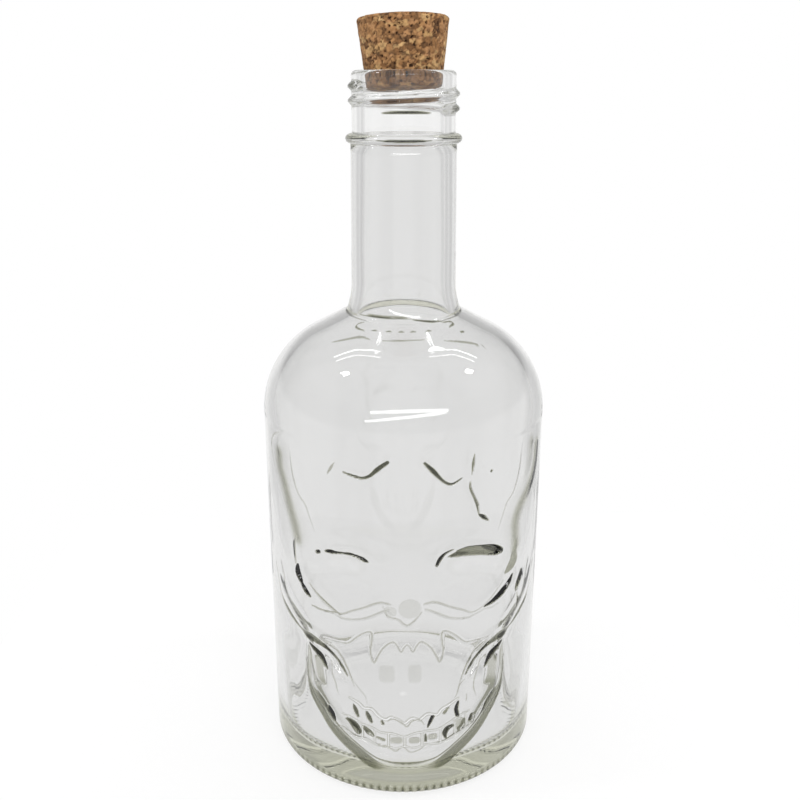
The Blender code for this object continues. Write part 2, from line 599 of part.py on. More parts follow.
def glass_bottle(collection, material):
    bottle = turn("glass_bottle", inside_profile() + outside_profile(), TURN_STEPS, collection)
    apply_modifiers(bottle)
    mould(bottle)
    thin_out(bottle, BOTTLE_TRIANGLES)
    lay_flat(bottle)
    bottle.data.shade_smooth()
    bottle.data.materials.append(material)
    return bottle


def cork_profile():
    """The cork about the middle of the mouth, from its crowned top to its bottom."""
    mouth_radius = BORE_RADIUS - CORK_MOUTH_GAP
    top = CORK_LENGTH - CORK_INSERTION - CORK_CROWN
    slope = math.tan(CORK_TAPER)
    top_radius = mouth_radius + top * slope
    bottom_radius = mouth_radius - CORK_INSERTION * slope
    top_corner = top_radius - CORK_EDGE_ROUND
    bottom_corner = bottom_radius - CORK_EDGE_ROUND
    crown = dome(top_corner, top, CORK_CROWN, CORK_ARC_POINTS)[:-1]
    upper = arc((top_corner, top - CORK_EDGE_ROUND), CORK_EDGE_ROUND,
                math.pi / 2, 0.0, CORK_ARC_POINTS)
    lower = arc((bottom_corner, CORK_EDGE_ROUND - CORK_INSERTION), CORK_EDGE_ROUND,
                0.0, -math.pi / 2, CORK_ARC_POINTS)
    return crown + upper + lower + [(0.0, -CORK_INSERTION)]


def cork_stopper(collection, material):
    cork = turn("cork_stopper", cork_profile(), CORK_STEPS, collection)
    apply_modifiers(cork)
    cork.location = (0.0, 0.0, LIP_HEIGHT)
    cork.rotation_euler = (-CORK_LEAN_BACK, -CORK_LEAN_LEFT, 0.0)
    cork.data.shade_smooth()
    cork.data.materials.append(material)
    return cork


def main():
    clear_scene()
    collection = bpy.data.collections.new("skull_decanter")
    bpy.context.scene.collection.children.link(collection)
    glass = make_material("clear_glass", GLASS_COLOUR, GLASS_ROUGHNESS, GLASS_TRANSMISSION)
    bark = make_material("agglomerated_cork", CORK_COLOUR, CORK_ROUGHNESS)
    glass_bottle(collection, glass)
    cork_stopper(collection, bark)


main()
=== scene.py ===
"""Clear skull decanter with a cork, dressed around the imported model.

Metres, +Z up. The bottle stands on z = 0, its axis is the Z axis and its face looks along -Y.
"""

import math

import bpy
import numpy as np
from mathutils import Euler, Matrix, Vector, noise


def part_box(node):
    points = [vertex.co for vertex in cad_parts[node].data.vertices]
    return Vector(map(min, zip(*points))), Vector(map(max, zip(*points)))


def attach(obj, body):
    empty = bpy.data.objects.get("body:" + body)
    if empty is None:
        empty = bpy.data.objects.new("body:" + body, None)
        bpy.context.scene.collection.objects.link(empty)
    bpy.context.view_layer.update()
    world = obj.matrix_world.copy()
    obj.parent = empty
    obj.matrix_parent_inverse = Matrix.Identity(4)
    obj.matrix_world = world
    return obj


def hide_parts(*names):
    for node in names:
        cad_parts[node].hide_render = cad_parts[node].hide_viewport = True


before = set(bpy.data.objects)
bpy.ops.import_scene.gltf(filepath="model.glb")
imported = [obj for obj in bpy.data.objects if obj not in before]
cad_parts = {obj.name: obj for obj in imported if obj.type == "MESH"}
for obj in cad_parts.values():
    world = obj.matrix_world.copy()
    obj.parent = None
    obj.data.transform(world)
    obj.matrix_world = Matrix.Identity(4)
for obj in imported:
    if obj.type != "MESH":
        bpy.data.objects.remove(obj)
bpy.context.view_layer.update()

MM = 0.001

# Driving sizes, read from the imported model
BOTTLE_LOW, BOTTLE_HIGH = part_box("glass_bottle")
BODY_RADIUS = (BOTTLE_HIGH.x - BOTTLE_LOW.x) / 2
LIP_HEIGHT = BOTTLE_HIGH.z

# Body of the bottle
BODY_STRAIGHT_HEIGHT = 116.0 * MM
WALL = 3.3 * MM
HEEL_RADIUS = 3.0 * MM
FOOT_RING_WIDTH = 4.0 * MM
PUSH_UP_RISE = 4.0 * MM
FLOOR_EDGE_HEIGHT = 7.5 * MM
FLOOR_DOME_RISE = 2.5 * MM
FLOOR_CORNER_RADIUS = 5.0 * MM

# Shoulder and neck
SHOULDER_RADIUS = 28.4 * MM
SHOULDER_TURN = math.radians(62.0)
NECK_CORNER_RADIUS = 2.5 * MM
NECK_FLARE_RADIUS = 24.3 * MM
NECK_FLARE_TURN = math.radians(19.0)
NECK_RADIUS = 15.95 * MM
NECK_TOP_RADIUS = 15.65 * MM

# Screw finish, with heights measured down from the lip
FINISH_HEIGHT = 20.3 * MM
FINISH_RADIUS = 15.2 * MM
BORE_RADIUS = 11.9 * MM
BORE_LENGTH = 14.0 * MM
BORE_TAPER_LENGTH = 38.0 * MM
LIP_OUTER_ROUND = 1.5 * MM
LIP_INNER_ROUND = 0.8 * MM
BEAD_RADIUS = 17.15 * MM
BEAD_THICKNESS = 3.0 * MM
THREAD_RADIUS = 16.3 * MM
THREAD_PITCH = 4.05 * MM
THREAD_WIDTH = 2.5 * MM
THREAD_TURNS = 1.75
THREAD_END_BELOW_LIP = 3.9 * MM
THREAD_START_ANGLE = math.radians(-50.0)
THREAD_RUN_OUT_TURNS = 0.12

# Short bars knurled round the foot ring
KNURL_BARS = 112
KNURL_DEPTH = 0.25 * MM
KNURL_LOW_RADIUS = 38.6 * MM
KNURL_HIGH_RADIUS = 44.0 * MM
KNURL_EDGE = 0.8 * MM
# Painted shade between the bars of the foot and up the heel, on the side that faces the front
KNURL_PAINTED_SHADE = 0.25
FOOT_TINT_HEIGHT = 15.0 * MM
HEEL_BAR_HEIGHT = 4.6 * MM
HEEL_BAR_PAINTED_SHADE = 0.6
FRONT_SHARE = 0.3

# Ring of thicker glass inside the root of the neck
ROOT_RING_RISE = 0.4 * MM
ROOT_RING_WIDTH = 0.8 * MM
ROOT_RING_WAVES = 7
ROOT_RING_WAVINESS = 0.3

# Cork, leaning in the mouth
CORK_LENGTH = 20.0 * MM
CORK_INSERTION = 5.0 * MM
CORK_TAPER = math.radians(6.6)
CORK_MOUTH_GAP = 0.35 * MM
CORK_EDGE_ROUND = 0.7 * MM
CORK_CROWN = 1.0 * MM
CORK_LEAN_LEFT = math.radians(1.2)
CORK_LEAN_BACK = math.radians(4.0)
CORK_ROUND_POINTS = 6

# Grain of the cork: sizes and depths first, then shares and sizes counted in grains
GRAIN_SEED = 1
CORK_GRAIN = 2.0 * MM
CORK_GRAIN_STEP = 0.10 * MM
CORK_CREVICE = 0.22 * MM
CORK_PIT = 0.75 * MM
CORK_CELL = 0.24 * MM
GRAIN_FLATNESS = 1.35
GRAIN_WANDER = 0.35
GRAIN_WANDER_FINENESS = 1.7
SHADE_SPREAD = 53.0
SHADE_PLACE = (7.3, 1.9, 4.1)
PARTING_WIDTH = 0.16
OPENING_SIZE = 1.2
OPENING_CONTRAST = 1.6
OPENING_SHARE = 0.45
PIT_SIZE = 0.42
PIT_START = 0.42
PIT_SLOPE = 0.12

# Fineness of the mesh
FACE_HALF_WIDTH = 66.0 * MM
MIDDLE_HALF_WIDTH = 42.0 * MM
MIDDLE_COLUMN = 0.3 * MM
SIDE_COLUMN = 0.6 * MM
BACK_COLUMN = 0.8 * MM
FACE_ROW = 0.3 * MM
INSIDE_ROW = 0.6 * MM
FINE_ROW = 0.4 * MM
COARSE_ROW = 3.0 * MM
ARC_POINTS = 11
TOLERANCE = 0.01 * MM

# Depths of the broad forms of the moulded face below the plain wall
HEAD_LEVEL = 0.5 * MM
GROOVE_DEPTH = 1.9 * MM
GROOVE_EDGE = 2.6 * MM
GROOVE_SLOPE = 6.0 * MM
GROOVE_SHALLOW_START = 34.0 * MM
GROOVE_SHALLOW_WIDTH = 24.0 * MM
SOCKET_DEPTH = 1.6 * MM
SOCKET_SLOPE = 9.0 * MM
CHEEK_DEPTH = 1.0 * MM
CHEEK_SLOPE = 4.0 * MM
BROW_RISE = 0.4 * MM
BROW_WIDTH = 3.0 * MM
NOSE_TIP_RISE = 0.5 * MM
TEMPLE_DEPTH = 0.2 * MM
TEMPLE_WIDTH = 2.3 * MM
# Painted shade along the temple valleys
TEMPLE_PAINTED_SHADE = 0.46
HEEL_FADE = 4.0 * MM
FACE_FADE_START = 92.0 * MM
FACE_FADE_END = 115.0 * MM
SIDE_FADE_WIDTH = 26.0 * MM

# Outlines of the face, drawn on the unrolled wall in millimetres: across from the
# middle of the face, then up from the foot. Each is one half or one side.
HEAD_HALF = [(0, 8.6), (6.6, 9.3), (11.6, 11.0), (15.9, 13.3), (20, 16.2), (23.8, 19.2), (27.2, 22.7),
             (30.3, 25.9), (33.4, 28.9), (35.5, 33.1), (36, 37.7), (36.2, 42.3), (36.3, 46.5),
             (38.2, 49.9), (41.4, 52.0), (45.8, 55.0), (51, 60), (56, 67), (61, 76), (68, 90),
             (72, 104), (74, 120)]
SOCKET = [(8.2, 77), (10.4, 81.8), (15.5, 84.1), (21, 84.4), (27, 83), (33, 80), (37.5, 76),
          (37.5, 72), (34.5, 68.5), (30, 65.5), (24, 63.9), (18, 64.3), (12.5, 66.4),
          (8, 69.5), (7, 73)]
CHEEK = [(33, 50), (26.5, 50), (22.5, 46.5), (19.4, 42), (17.6, 38), (19.5, 35), (23, 34),
         (27.5, 35), (30.5, 39), (31.5, 45)]
BROW = [(9, 85.5), (16, 88.4), (23, 88.4), (30, 86), (35, 83.5)]
JAW_BAND = [(34.2, 48), (36.4, 39.4), (36, 34.2), (35.2, 29.5), (32.8, 26.1), (30.1, 23.1), (27.4, 19.7),
            (24.4, 16.9), (20.8, 14.2), (17, 11.6), (14, 9.5), (9.5, 8), (4, 9.6), (8.8, 12.3),
            (12.6, 15.2), (16, 17.6), (19.5, 20), (22.6, 22.4), (25.6, 25.6), (27, 29.4), (30, 32.1),
            (32.3, 34.3), (32.6, 39), (31.9, 44.8)]
# The soft valleys of the temples, left and right, with painted shade along them
TEMPLES = [[(-45.8, 108.2), (-45.8, 104), (-44.1, 100.4), (-42.5, 96.2), (-41.1, 92.8), (-39.2, 88.7),
            (-37.2, 83.6)],
           [(50.3, 109.1), (50.1, 104.1), (48.3, 99.8), (44.6, 95.3), (40.3, 91.9), (38.2, 88.2),
            (38.1, 83.8), (38.6, 79.6)]]

# Thin ridges round the teeth, kept clear by a painted highlight and edged with painted shade: half width,
# half width at the ends, and the run of (across, up) in millimetres, for the upper gums, the bite and the
# lower gums
RIDGES = [
    (0.75, 0.6, [(-18.3, 34.3), (-15.2, 33), (-13.4, 31.5), (-11, 31.6), (-8.7, 29.2), (-6.4, 28.3),
        (-5, 29.2), (-2.6, 28.4), (-0.7, 27.2), (1.5, 28.9), (4, 28.4), (6.4, 30.2), (9.4, 29.4),
        (11, 31.2), (13.6, 32.4), (16.5, 34)]),
    (0.6, 0.5, [(-20.6, 27.6), (-17.4, 27), (-14.2, 25.6), (-11, 24.9), (-8, 23.4), (-4.8, 23.4),
        (-0.7, 22.3), (2.4, 23.4), (6.6, 24), (10.2, 24.2), (14, 26), (17.5, 27.6), (20.4, 28.2)]),
    (0.6, 0.5, [(-27.2, 27.6), (-26.2, 24.4), (-23.6, 22.6), (-20.3, 22.4), (-16.8, 20.6), (-13, 20.4),
        (-10, 18.9), (-6.4, 18.2), (-3.2, 17.8), (-0.6, 18.6), (2.4, 17.9), (5.4, 18.8), (8.4, 18.8),
        (11.6, 19.2), (15.5, 21), (19, 22.2), (22.4, 23.4), (22.8, 26.6)]),
]
# The ridges between the lower teeth: (across, top, bottom)
TOOTH_SIDES = [(-14, 24.6, 20.6), (-10, 24.4, 19.4), (-5.7, 23.2, 18.6), (-0.6, 22.3, 18.6),
               (4.8, 23.4, 18.8), (10.6, 24.2, 19), (15.4, 26, 21.2), (19.2, 27.6, 22.4)]

# Strokes cut into the face: steepness, how dark the painted shade makes the glass in them, 0 to 1, and the
# run of (across, up, half width) in millimetres. These are the same on both sides.
MARKS_ON_BOTH_SIDES = {
    "jaw inner edge": (0.5, 0.7, [(30.4, 32.6, 0.15), (27.2, 29.4, 0.4), (25.4, 25.8, 0.45),
        (22.4, 22.6, 0.4), (19.4, 20.2, 0.35), (16, 17.8, 0.35), (12.6, 15.4, 0.35), (9.2, 13.5, 0.35),
        (5, 12.6, 0.35), (0, 12.4, 0.35)]),
    "jaw outer edge": (0.5, 0.7, [(34.6, 47, 0.25), (36.2, 39.4, 0.35), (36, 34.2, 0.4), (35, 29.5, 0.5),
        (32.6, 26.1, 0.45), (29.9, 23.1, 0.4), (27.2, 19.9, 0.35), (24.2, 17.1, 0.3), (20.6, 14.4, 0.25),
        (17, 11.9, 0.15)]),
    "temple inner line": (0.2, 0.24, [(38.9, 113, 0.2), (38.4, 105, 0.45), (36.2, 98.6, 0.5),
        (33.1, 95.6, 0.5), (31.2, 91.5, 0.4), (29, 87.6, 0.2)]),
    "zygoma high edge": (0.2, 0.3, [(53.2, 68.4, 0.5), (51.6, 64.4, 0.6), (50.4, 60, 0.6),
        (48.4, 56.8, 0.5), (45.2, 54.4, 0.4)]),
    "zygoma edge": (0.3, 0.66, [(49.6, 58, 0.3), (47.8, 56.2, 0.6), (45.2, 54.3, 0.8), (42.4, 52.6, 0.8),
        (39.4, 51.5, 0.8), (36, 51.2, 1.2), (32.5, 51, 1.4), (29.5, 50.4, 1.3), (26.8, 49.8, 0.9)]),
    "cheek outer line": (1, 0.7, [(27.2, 49.9, 0.8), (24.4, 48.5, 0.6), (22.3, 46.9, 0.5),
        (20.6, 44.7, 0.55), (18.8, 41.8, 0.35)]),
    "cheek inner line": (0.6, 0.45, [(25, 51.2, 0.3), (21.8, 49.5, 0.35), (19.6, 46.3, 0.4),
        (17.9, 42.4, 0.35), (16.4, 38, 0.2)]),
    "jaw tip mark": (1, 0.85, [(33.2, 48.6, 0.3), (31, 47.1, 0.6), (29, 45.3, 0.85), (27.8, 43, 0.75),
        (26.8, 41, 0.3)]),
    "rim upper line": (0.5, 0.28, [(33, 69.6, 0.3), (29.5, 66.9, 0.35), (25.5, 64.3, 0.35), (21, 63, 0.4),
        (17, 64.9, 0.45), (13.2, 66.6, 0.45), (10, 68.3, 0.5), (7.6, 69, 0.5), (5, 68.6, 0.4)]),
    "rim lower line": (0.5, 0.25, [(31.5, 62.8, 0.3), (28.4, 62.4, 0.35), (24.5, 62.6, 0.35),
        (20.3, 61.8, 0.4), (17, 62, 0.4), (13.4, 62.9, 0.45), (10.5, 64.3, 0.5), (7.5, 66, 0.5),
        (5.4, 66.8, 0.4)]),
    "lip line": (0.5, 0.28, [(27, 52.8, 0.25), (20, 53.1, 0.4), (17.8, 53.9, 0.45), (15.2, 56.4, 0.45),
        (12.8, 58.2, 0.45), (10.9, 58.6, 0.5), (10.7, 56.2, 0.5), (11.1, 52.9, 0.5), (11, 50.4, 0.5),
        (10.1, 48.2, 0.55), (8.9, 50.5, 0.5), (7.5, 53.2, 0.5), (5.9, 54.9, 0.5), (4.2, 55.8, 0.5),
        (3, 54.6, 0.45), (1.8, 52.4, 0.45), (0.9, 54, 0.4), (0, 55, 0.4)]),
}

# The same for strokes on one side. Gaps between the teeth are numbered from left to right.
MARKS_ON_ONE_SIDE = {
    "orbit mark left": (1.1, 0.85, [(-37.8, 74, 0.6), (-37.8, 71.6, 1.3), (-36.9, 69.9, 1.2),
        (-36, 68.5, 0.7), (-35, 67.2, 1), (-33.6, 66, 0.9), (-32.2, 65.2, 0.4)]),
    "orbit mark right": (1.2, 1, [(37.4, 70.2, 0.3), (35.6, 68, 1), (32.6, 66, 1.3), (28.8, 64.4, 0.9),
        (25.2, 63.6, 0.3)]),
    "bulb": (0.1, 0.18, [(0.6, 67.3, 3.4), (1, 67.3, 3.4)]),
    "bulb side": (0.1, 0.18, [(-5.4, 66.4, 1.8), (-4.6, 66.2, 1.8)]),
    "bulb rim": (0.3, 0.27, [(-7.2, 67.7, 0.3), (-5.7, 64.6, 0.45), (-2.7, 63.7, 0.45), (-0.1, 61.7, 0.5),
        (2.1, 63.2, 0.45), (4.3, 65.9, 0.4)]),
    "rim dark upper": (0.5, 0.5, [(-32.6, 69.7, 0.2), (-31, 68.1, 0.35), (-28.6, 66.7, 0.4),
        (-26.5, 65.6, 0.45), (-24.4, 64.5, 0.45), (-22.6, 63.6, 0.4), (-21, 62.6, 0.4)]),
    "rim dark lower": (0.5, 0.45, [(-32, 62.5, 0.3), (-29.9, 62.3, 0.4), (-27.4, 62.3, 0.4),
        (-24.9, 62.6, 0.4), (-22.5, 63, 0.4)]),
    "temple end left": (0.3, 0.32, [(-37.6, 83.4, 0.5), (-39, 81.4, 0.8), (-39.1, 78.2, 0.8),
        (-38.8, 74.4, 0.6)]),
    "temple outer line": (0.2, 0.25, [(-44.5, 115.5, 0.3), (-49.9, 112.4, 0.7), (-51.4, 107.8, 0.7),
        (-49.7, 103.7, 0.5), (-48, 99, 0.2)]),
    "jaw line left": (0.2, 0.3, [(-24.9, 45.9, 0.2), (-25, 40.4, 0.4), (-23.3, 36.5, 0.4),
        (-21.9, 33.9, 0.2)]),
    "jaw line left inner": (0.2, 0.26, [(-18.1, 43, 0.2), (-15.7, 39, 0.35), (-13, 35.8, 0.35),
        (-12.5, 32.8, 0.2)]),
    "jaw line right": (0.2, 0.32, [(26.5, 49.1, 0.2), (24.8, 46, 0.35), (24.2, 42.7, 0.4), (23, 38.9, 0.4),
        (22.2, 35.4, 0.4), (23.1, 32.4, 0.2)]),
    "jaw line right inner": (0.2, 0.36, [(18.8, 40.1, 0.2), (16.9, 38.6, 0.4), (15.8, 35.1, 0.3),
        (14.8, 34.3, 0.2)]),
    "upper tooth arches": (0.2, 0.34, [(-5.9, 27.7, 0.25), (-4.2, 28.7, 0.4), (-1.7, 27.6, 0.4),
        (0, 25.9, 0.4), (1.5, 27.7, 0.4), (3.7, 28.5, 0.4), (5.5, 26.3, 0.3)]),
    "lower gum line": (0.2, 0.32, [(-10.4, 19.9, 0.2), (-8.5, 18.4, 0.35), (-6, 18.2, 0.35),
        (-3.6, 16.8, 0.4), (-1.1, 18.1, 0.35), (1.3, 16.4, 0.4), (4.4, 17.4, 0.35), (6.1, 18.9, 0.25)]),
    "forehead dash": (0.3, 0.4, [(-21.4, 111.9, 0.2), (-22.8, 109.8, 0.6), (-24, 107.8, 0.25)]),
    "temple end": (0.1, 0.48, [(38.9, 81, 1), (38.5, 78.9, 1.4), (38, 76.8, 1.8), (37.9, 74.8, 2.2),
        (36.4, 73.2, 1.6), (34.3, 71.8, 0.6)]),
    "arch mark": (0.5, 0.58, [(42.8, 69.6, 0.5), (42.4, 67.1, 1.5), (41.2, 65.3, 1.5), (40, 64, 0.7)]),
    "arch low mark": (0.3, 0.3, [(40.8, 62.2, 0.5), (41.4, 59.6, 0.7), (40.9, 57.5, 0.5)]),
    "left lid": (1.1, 0.85, [(-25.6, 82.7, 0.5), (-24, 82.9, 0.85), (-22, 83.1, 0.6), (-19.8, 83.4, 0.45),
        (-17.4, 83.6, 0.55), (-15.1, 83.2, 0.65), (-13.2, 82.5, 0.85), (-11.7, 81.9, 0.4)]),
    "left lid dot": (1.1, 0.85, [(-28.9, 81.5, 0.75), (-28.2, 81.8, 0.75)]),
    "right lid tail": (1.1, 0.9, [(8.8, 80.9, 0.6), (9.8, 83.1, 0.75), (11.3, 84.6, 0.5),
        (13.6, 85.5, 0.3)]),
    "right lid": (1, 0.56, [(12.2, 83.4, 0.3), (15.5, 83.7, 1.2), (18.2, 83.8, 1.6), (23.5, 82.9, 1.8),
        (28.5, 81.5, 1.8), (31.2, 80.3, 0.9)]),
    "right lid inner": (0.3, 0.72, [(13.2, 83.2, 0.5), (16.5, 83.2, 0.7), (19, 82.9, 0.4)]),
    "right lid outer": (0.3, 0.8, [(24.5, 83.6, 0.6), (27.5, 82, 0.9), (30.4, 80.6, 0.9)]),
    "right lid edge": (1.1, 0.9, [(15, 84.8, 0.3), (18.7, 85.2, 0.4), (23.8, 84.3, 0.5), (28.3, 83, 0.6),
        (31.4, 80.8, 0.7), (29.8, 79.9, 0.5), (26, 80.6, 0.3)]),
    "wrinkle left": (1.1, 0.75, [(-18.8, 109.4, 0.3), (-15.9, 108.7, 0.5), (-13, 108.3, 0.55),
        (-10.7, 109.2, 0.6), (-8.4, 111.4, 0.8), (-5.6, 113.6, 0.65)]),
    "wrinkle right": (1.1, 0.8, [(4.8, 113.3, 0.5), (7.2, 110.8, 0.8), (9.2, 108.5, 0.6),
        (11.1, 106.8, 0.5), (13.1, 106.2, 0.5), (15.8, 107.6, 0.3)]),
    "crack top": (1.1, 0.6, [(19.7, 114.4, 0.2), (19.4, 111.7, 0.55), (19.2, 109.2, 0.35),
        (19, 107.8, 0.1)]),
    "crack middle": (1.1, 0.65, [(18.6, 106.3, 0.25), (18.8, 103.8, 0.5), (20.2, 100.8, 0.5),
        (21.4, 98.1, 0.6), (21.9, 95.6, 0.35), (22.4, 94.6, 0.4)]),
    "crack end": (1.1, 0.85, [(22.4, 94.7, 0.45), (23.8, 93.7, 0.75), (25.6, 92.2, 0.3)]),
    "upper gap 1": (0.9, 0.9, [(-25.8, 28.4, 0.6), (-24.7, 26.2, 1.1), (-23.8, 24.2, 0.6)]),
    "upper gap 2": (0.9, 0.7, [(-16.9, 31.8, 0.45), (-16.2, 30, 0.85), (-15.5, 28, 0.55)]),
    "upper gap 3": (0.9, 0.7, [(-12.6, 30, 0.6), (-11.9, 28.4, 0.9), (-11.1, 26.8, 0.6)]),
    "upper gap 4": (0.9, 0.7, [(-7.8, 27.5, 0.5), (-7.4, 26.6, 0.6)]),
    "upper gap 5": (0.9, 0.9, [(8.1, 28.9, 0.75), (7.3, 27.1, 0.7), (6.6, 25.3, 0.4)]),
    "upper gap 6": (0.9, 0.5, [(13.2, 31.1, 0.5), (11.9, 29.6, 0.75)]),
    "upper gap 7": (0.9, 0.9, [(16.5, 32.5, 0.5), (15.9, 30.2, 0.85), (16.3, 27.6, 0.7)]),
    "upper gap 8": (0.6, 0.4, [(19.4, 34.4, 0.25), (19.4, 32.2, 0.3)]),
    "lower gap 1": (0.9, 0.68, [(-19.5, 26.4, 0.3), (-17.8, 25.6, 0.9), (-16.3, 24.2, 1.3),
        (-15.3, 22.6, 1.1)]),
    "lower gap 2": (0.9, 0.62, [(-13.5, 24.4, 0.6), (-12, 23, 1.1), (-10.6, 21.9, 0.6)]),
    "lower gap 3": (0.6, 0.5, [(-9.4, 21.5, 0.5), (-7.2, 20.7, 0.7)]),
    "lower gap 4": (0.9, 0.75, [(5.9, 22.6, 0.45), (6, 20.3, 0.6)]),
    "lower gap 5": (0.9, 0.8, [(14.6, 24.4, 0.6), (12.9, 23.6, 0.95), (12.1, 22.2, 0.95),
        (12.3, 20.7, 0.5)]),
    "tooth edge": (0.6, 0.5, [(15.6, 25.6, 0.3), (17, 26.6, 0.3), (18.7, 25.6, 0.3)]),
    "lower gap 6": (0.9, 0.7, [(21.4, 26.4, 0.6), (20.8, 24.6, 0.75)]),
}

# Thin lines of painted shade on the shoulder and the root of the neck, and on the finish a painted image of
# the cork: darkness and run
THIN_LINES = {
    "root line left": (0.7, [(-39, 147.9, 0.15), (-21.9, 148.05, 0.3), (-7.9, 148.05, 0.3),
        (5, 148, 0.15)]),
    "root line right": (0.7, [(5.7, 147.7, 0.2), (14.1, 147.2, 0.3), (20.4, 146.9, 0.3),
        (27.6, 146.8, 0.15)]),
    "ring left end": (0.6, [(-29.5, 146.5, 0.1), (-33.6, 145.9, 0.25), (-32.4, 145.2, 0.25),
        (-25, 144.8, 0.15)]),
    "ring right end": (0.65, [(26.6, 146.5, 0.15), (33.9, 146.3, 0.25), (34.9, 145.8, 0.3),
        (29, 145.3, 0.15)]),
    "shoulder line": (0.4, [(-12.1, 143.3, 0.15), (-1.3, 143.4, 0.22), (9.6, 143.5, 0.15)]),
    "shoulder line left": (0.4, [(-37.6, 141.5, 0.2), (-31.6, 142.6, 0.35), (-25.1, 143.5, 0.35),
        (-18.7, 143.3, 0.15)]),
    "shoulder line right": (0.42, [(19.8, 142.9, 0.15), (27, 142.3, 0.3), (33.6, 141.4, 0.35),
        (37.7, 140.3, 0.15)]),
    "cork line high": (0.85, [(-26, 205.7, 0.1), (-12, 205.6, 0.35), (1, 205.6, 0.4), (14, 205.6, 0.35),
        (28, 205.7, 0.1)]),
    "cork line low": (0.8, [(-22, 198.2, 0.1), (-10, 198.1, 0.4), (0, 198.1, 0.45), (10, 198.1, 0.4),
        (20, 198.2, 0.1)]),
    "upper root dot": (0.7, [(45.2, 147.3, 0.4), (46, 147.3, 0.4)]),
    "lower root dot": (0.7, [(33.4, 143.9, 0.2), (36, 143.9, 0.2)]),
}
DASH_HEIGHT = 145.15
DASH_HALF_LENGTH = 2.2
for middle in (-19, -10, -2.5, 4.5, 14):
    THIN_LINES["dash at %g" % middle] = (0.55, [
        (middle - DASH_HALF_LENGTH, DASH_HEIGHT, 0.1), (middle, DASH_HEIGHT, 0.22),
        (middle + DASH_HALF_LENGTH, DASH_HEIGHT, 0.1)])
THIN_LINE_EDGE = 0.15 * MM

# How the strokes, ridges and plain glass are drawn
CURVE_STEPS = 5
DEEPEST_STROKE = 1.2 * MM
STROKE_EDGE = 0.3 * MM
TOOTH_SIDE_HALF_WIDTH = 0.6
RIDGE_RISE = 0.2 * MM
RIDGE_RIM = 0.3 * MM
# Painted shade on the rims of the ridges round the teeth
RIDGE_RIM_PAINTED_SHADE = 0.34
# Painted shade: the plain glass is painted a light grey, and the finish is painted lighter than it
PLAIN_DARKNESS = 0.1
FINISH_DARKNESS = 0.04

# Shade on the slope round the jaw
JAW_SHADE = 0.60
JAW_SHADE_HIGH = 0.30
JAW_SHADE_TURN = 36.0 * MM
JAW_SHADE_FADE = 6.0 * MM
JAW_SHADE_EDGE = 0.6 * MM
CHIN_SHADE = 0.35

# Rounded hollows: (across, up, half width, half height) in millimetres. Painted shade fills them fully where
# their edge, a share of the way in, ends.
LOWER_TEETH = [(-3.2, 20.7, 2.3, 1.4), (2.4, 20.7, 2.1, 1.4), (8.2, 21.5, 1.9, 1.3),
               (17.2, 24.3, 1.6, 2.1)]
NOSTRILS = [(-6.2, 44.6, 3.4, 4.3), (2.4, 44.8, 2.9, 4.5)]
SEED_BUBBLE = [(25.9, 107.9, 0.4, 0.4)]
LOWER_TOOTH_PAINTED_SHADE = 0.30
NOSTRIL_PAINTED_SHADE = 0.17
TOOTH_HOLLOW_DEPTH = 0.5 * MM
NOSTRIL_DEPTH = 0.1 * MM
BUBBLE_DEPTH = 0.3 * MM
BUBBLE_PAINTED_SHADE = 0.75
HOLLOW_EDGE = 0.5
NOSTRIL_EDGE = 0.7

# Tip of the nose and the two lines of the chin
NOSE_TIP_ACROSS = 0.1 * MM
NOSE_TIP_UP = 67.2 * MM
NOSE_TIP_WIDTH = 3.4 * MM
CHIN_LINES = (15.3 * MM, 17.6 * MM)
CHIN_LINE_DEPTH = 0.3 * MM
CHIN_CURVE = 18.0
CHIN_HALF_WIDTH = 12.0 * MM
CHIN_FADE = 4.0 * MM
CHIN_LINE_WIDTH = 0.6 * MM

# How softly the outside and the inside of the wall follow the broad forms
GRID_CELL = 0.5 * MM
OUTSIDE_SOFTEN_STEPS = 6
SPREAD_STEPS = 6
INSIDE_SOFTEN_STEPS = 96
INSIDE_SHARE = 0.8

# Glass: its colour by how dark the painted shade makes it at a point, clear where a painted highlight
# lifts it, its tint at the foot, its colour through and through
WHITE = (1.0, 1.0, 1.0, 1.0)
PAINTED_SHADE_STOPS = [(0.0, 1.0), (PLAIN_DARKNESS, 0.74), (0.28, 0.36, 0.36, 0.30), (0.5, 0.11, 0.113, 0.065),
              (0.7, 0.015, 0.0155, 0.008), (0.85, 0.0)]
FOOT_TINT = (0.66, 0.67, 0.50, 1.0)
GLASS_IOR = 1.52
GLASS_COLOUR = (0.925, 0.925, 0.83, 1.0)
GLASS_DENSITY = 8.0

# Cork: brown, tan and reddish grains, a fine mottle, and dark crevices and pits, partly the cork's own
# darker colour and partly painted shade
GRAIN_STOPS = [(0.0, 0.13, 0.060, 0.022), (0.2, 0.25, 0.120, 0.045), (0.45, 0.37, 0.190, 0.075),
               (0.65, 0.42, 0.215, 0.095), (0.85, 0.45, 0.260, 0.105), (1.0, 0.56, 0.350, 0.160)]
MOTTLE_STOPS = [(0.3, 0.45), (0.5, 1.0), (0.7, 1.35)]
MOTTLE_SCALE = 900.0
MOTTLE_DETAIL = 4.0
# Near black in crevices and pits: partly the cork's own darker colour, partly painted shade
CREVICE_COLOUR = (0.035, 0.014, 0.006, 1.0)
CORK_ROUGHNESS = 0.8
CORK_SPECULAR = 0.3

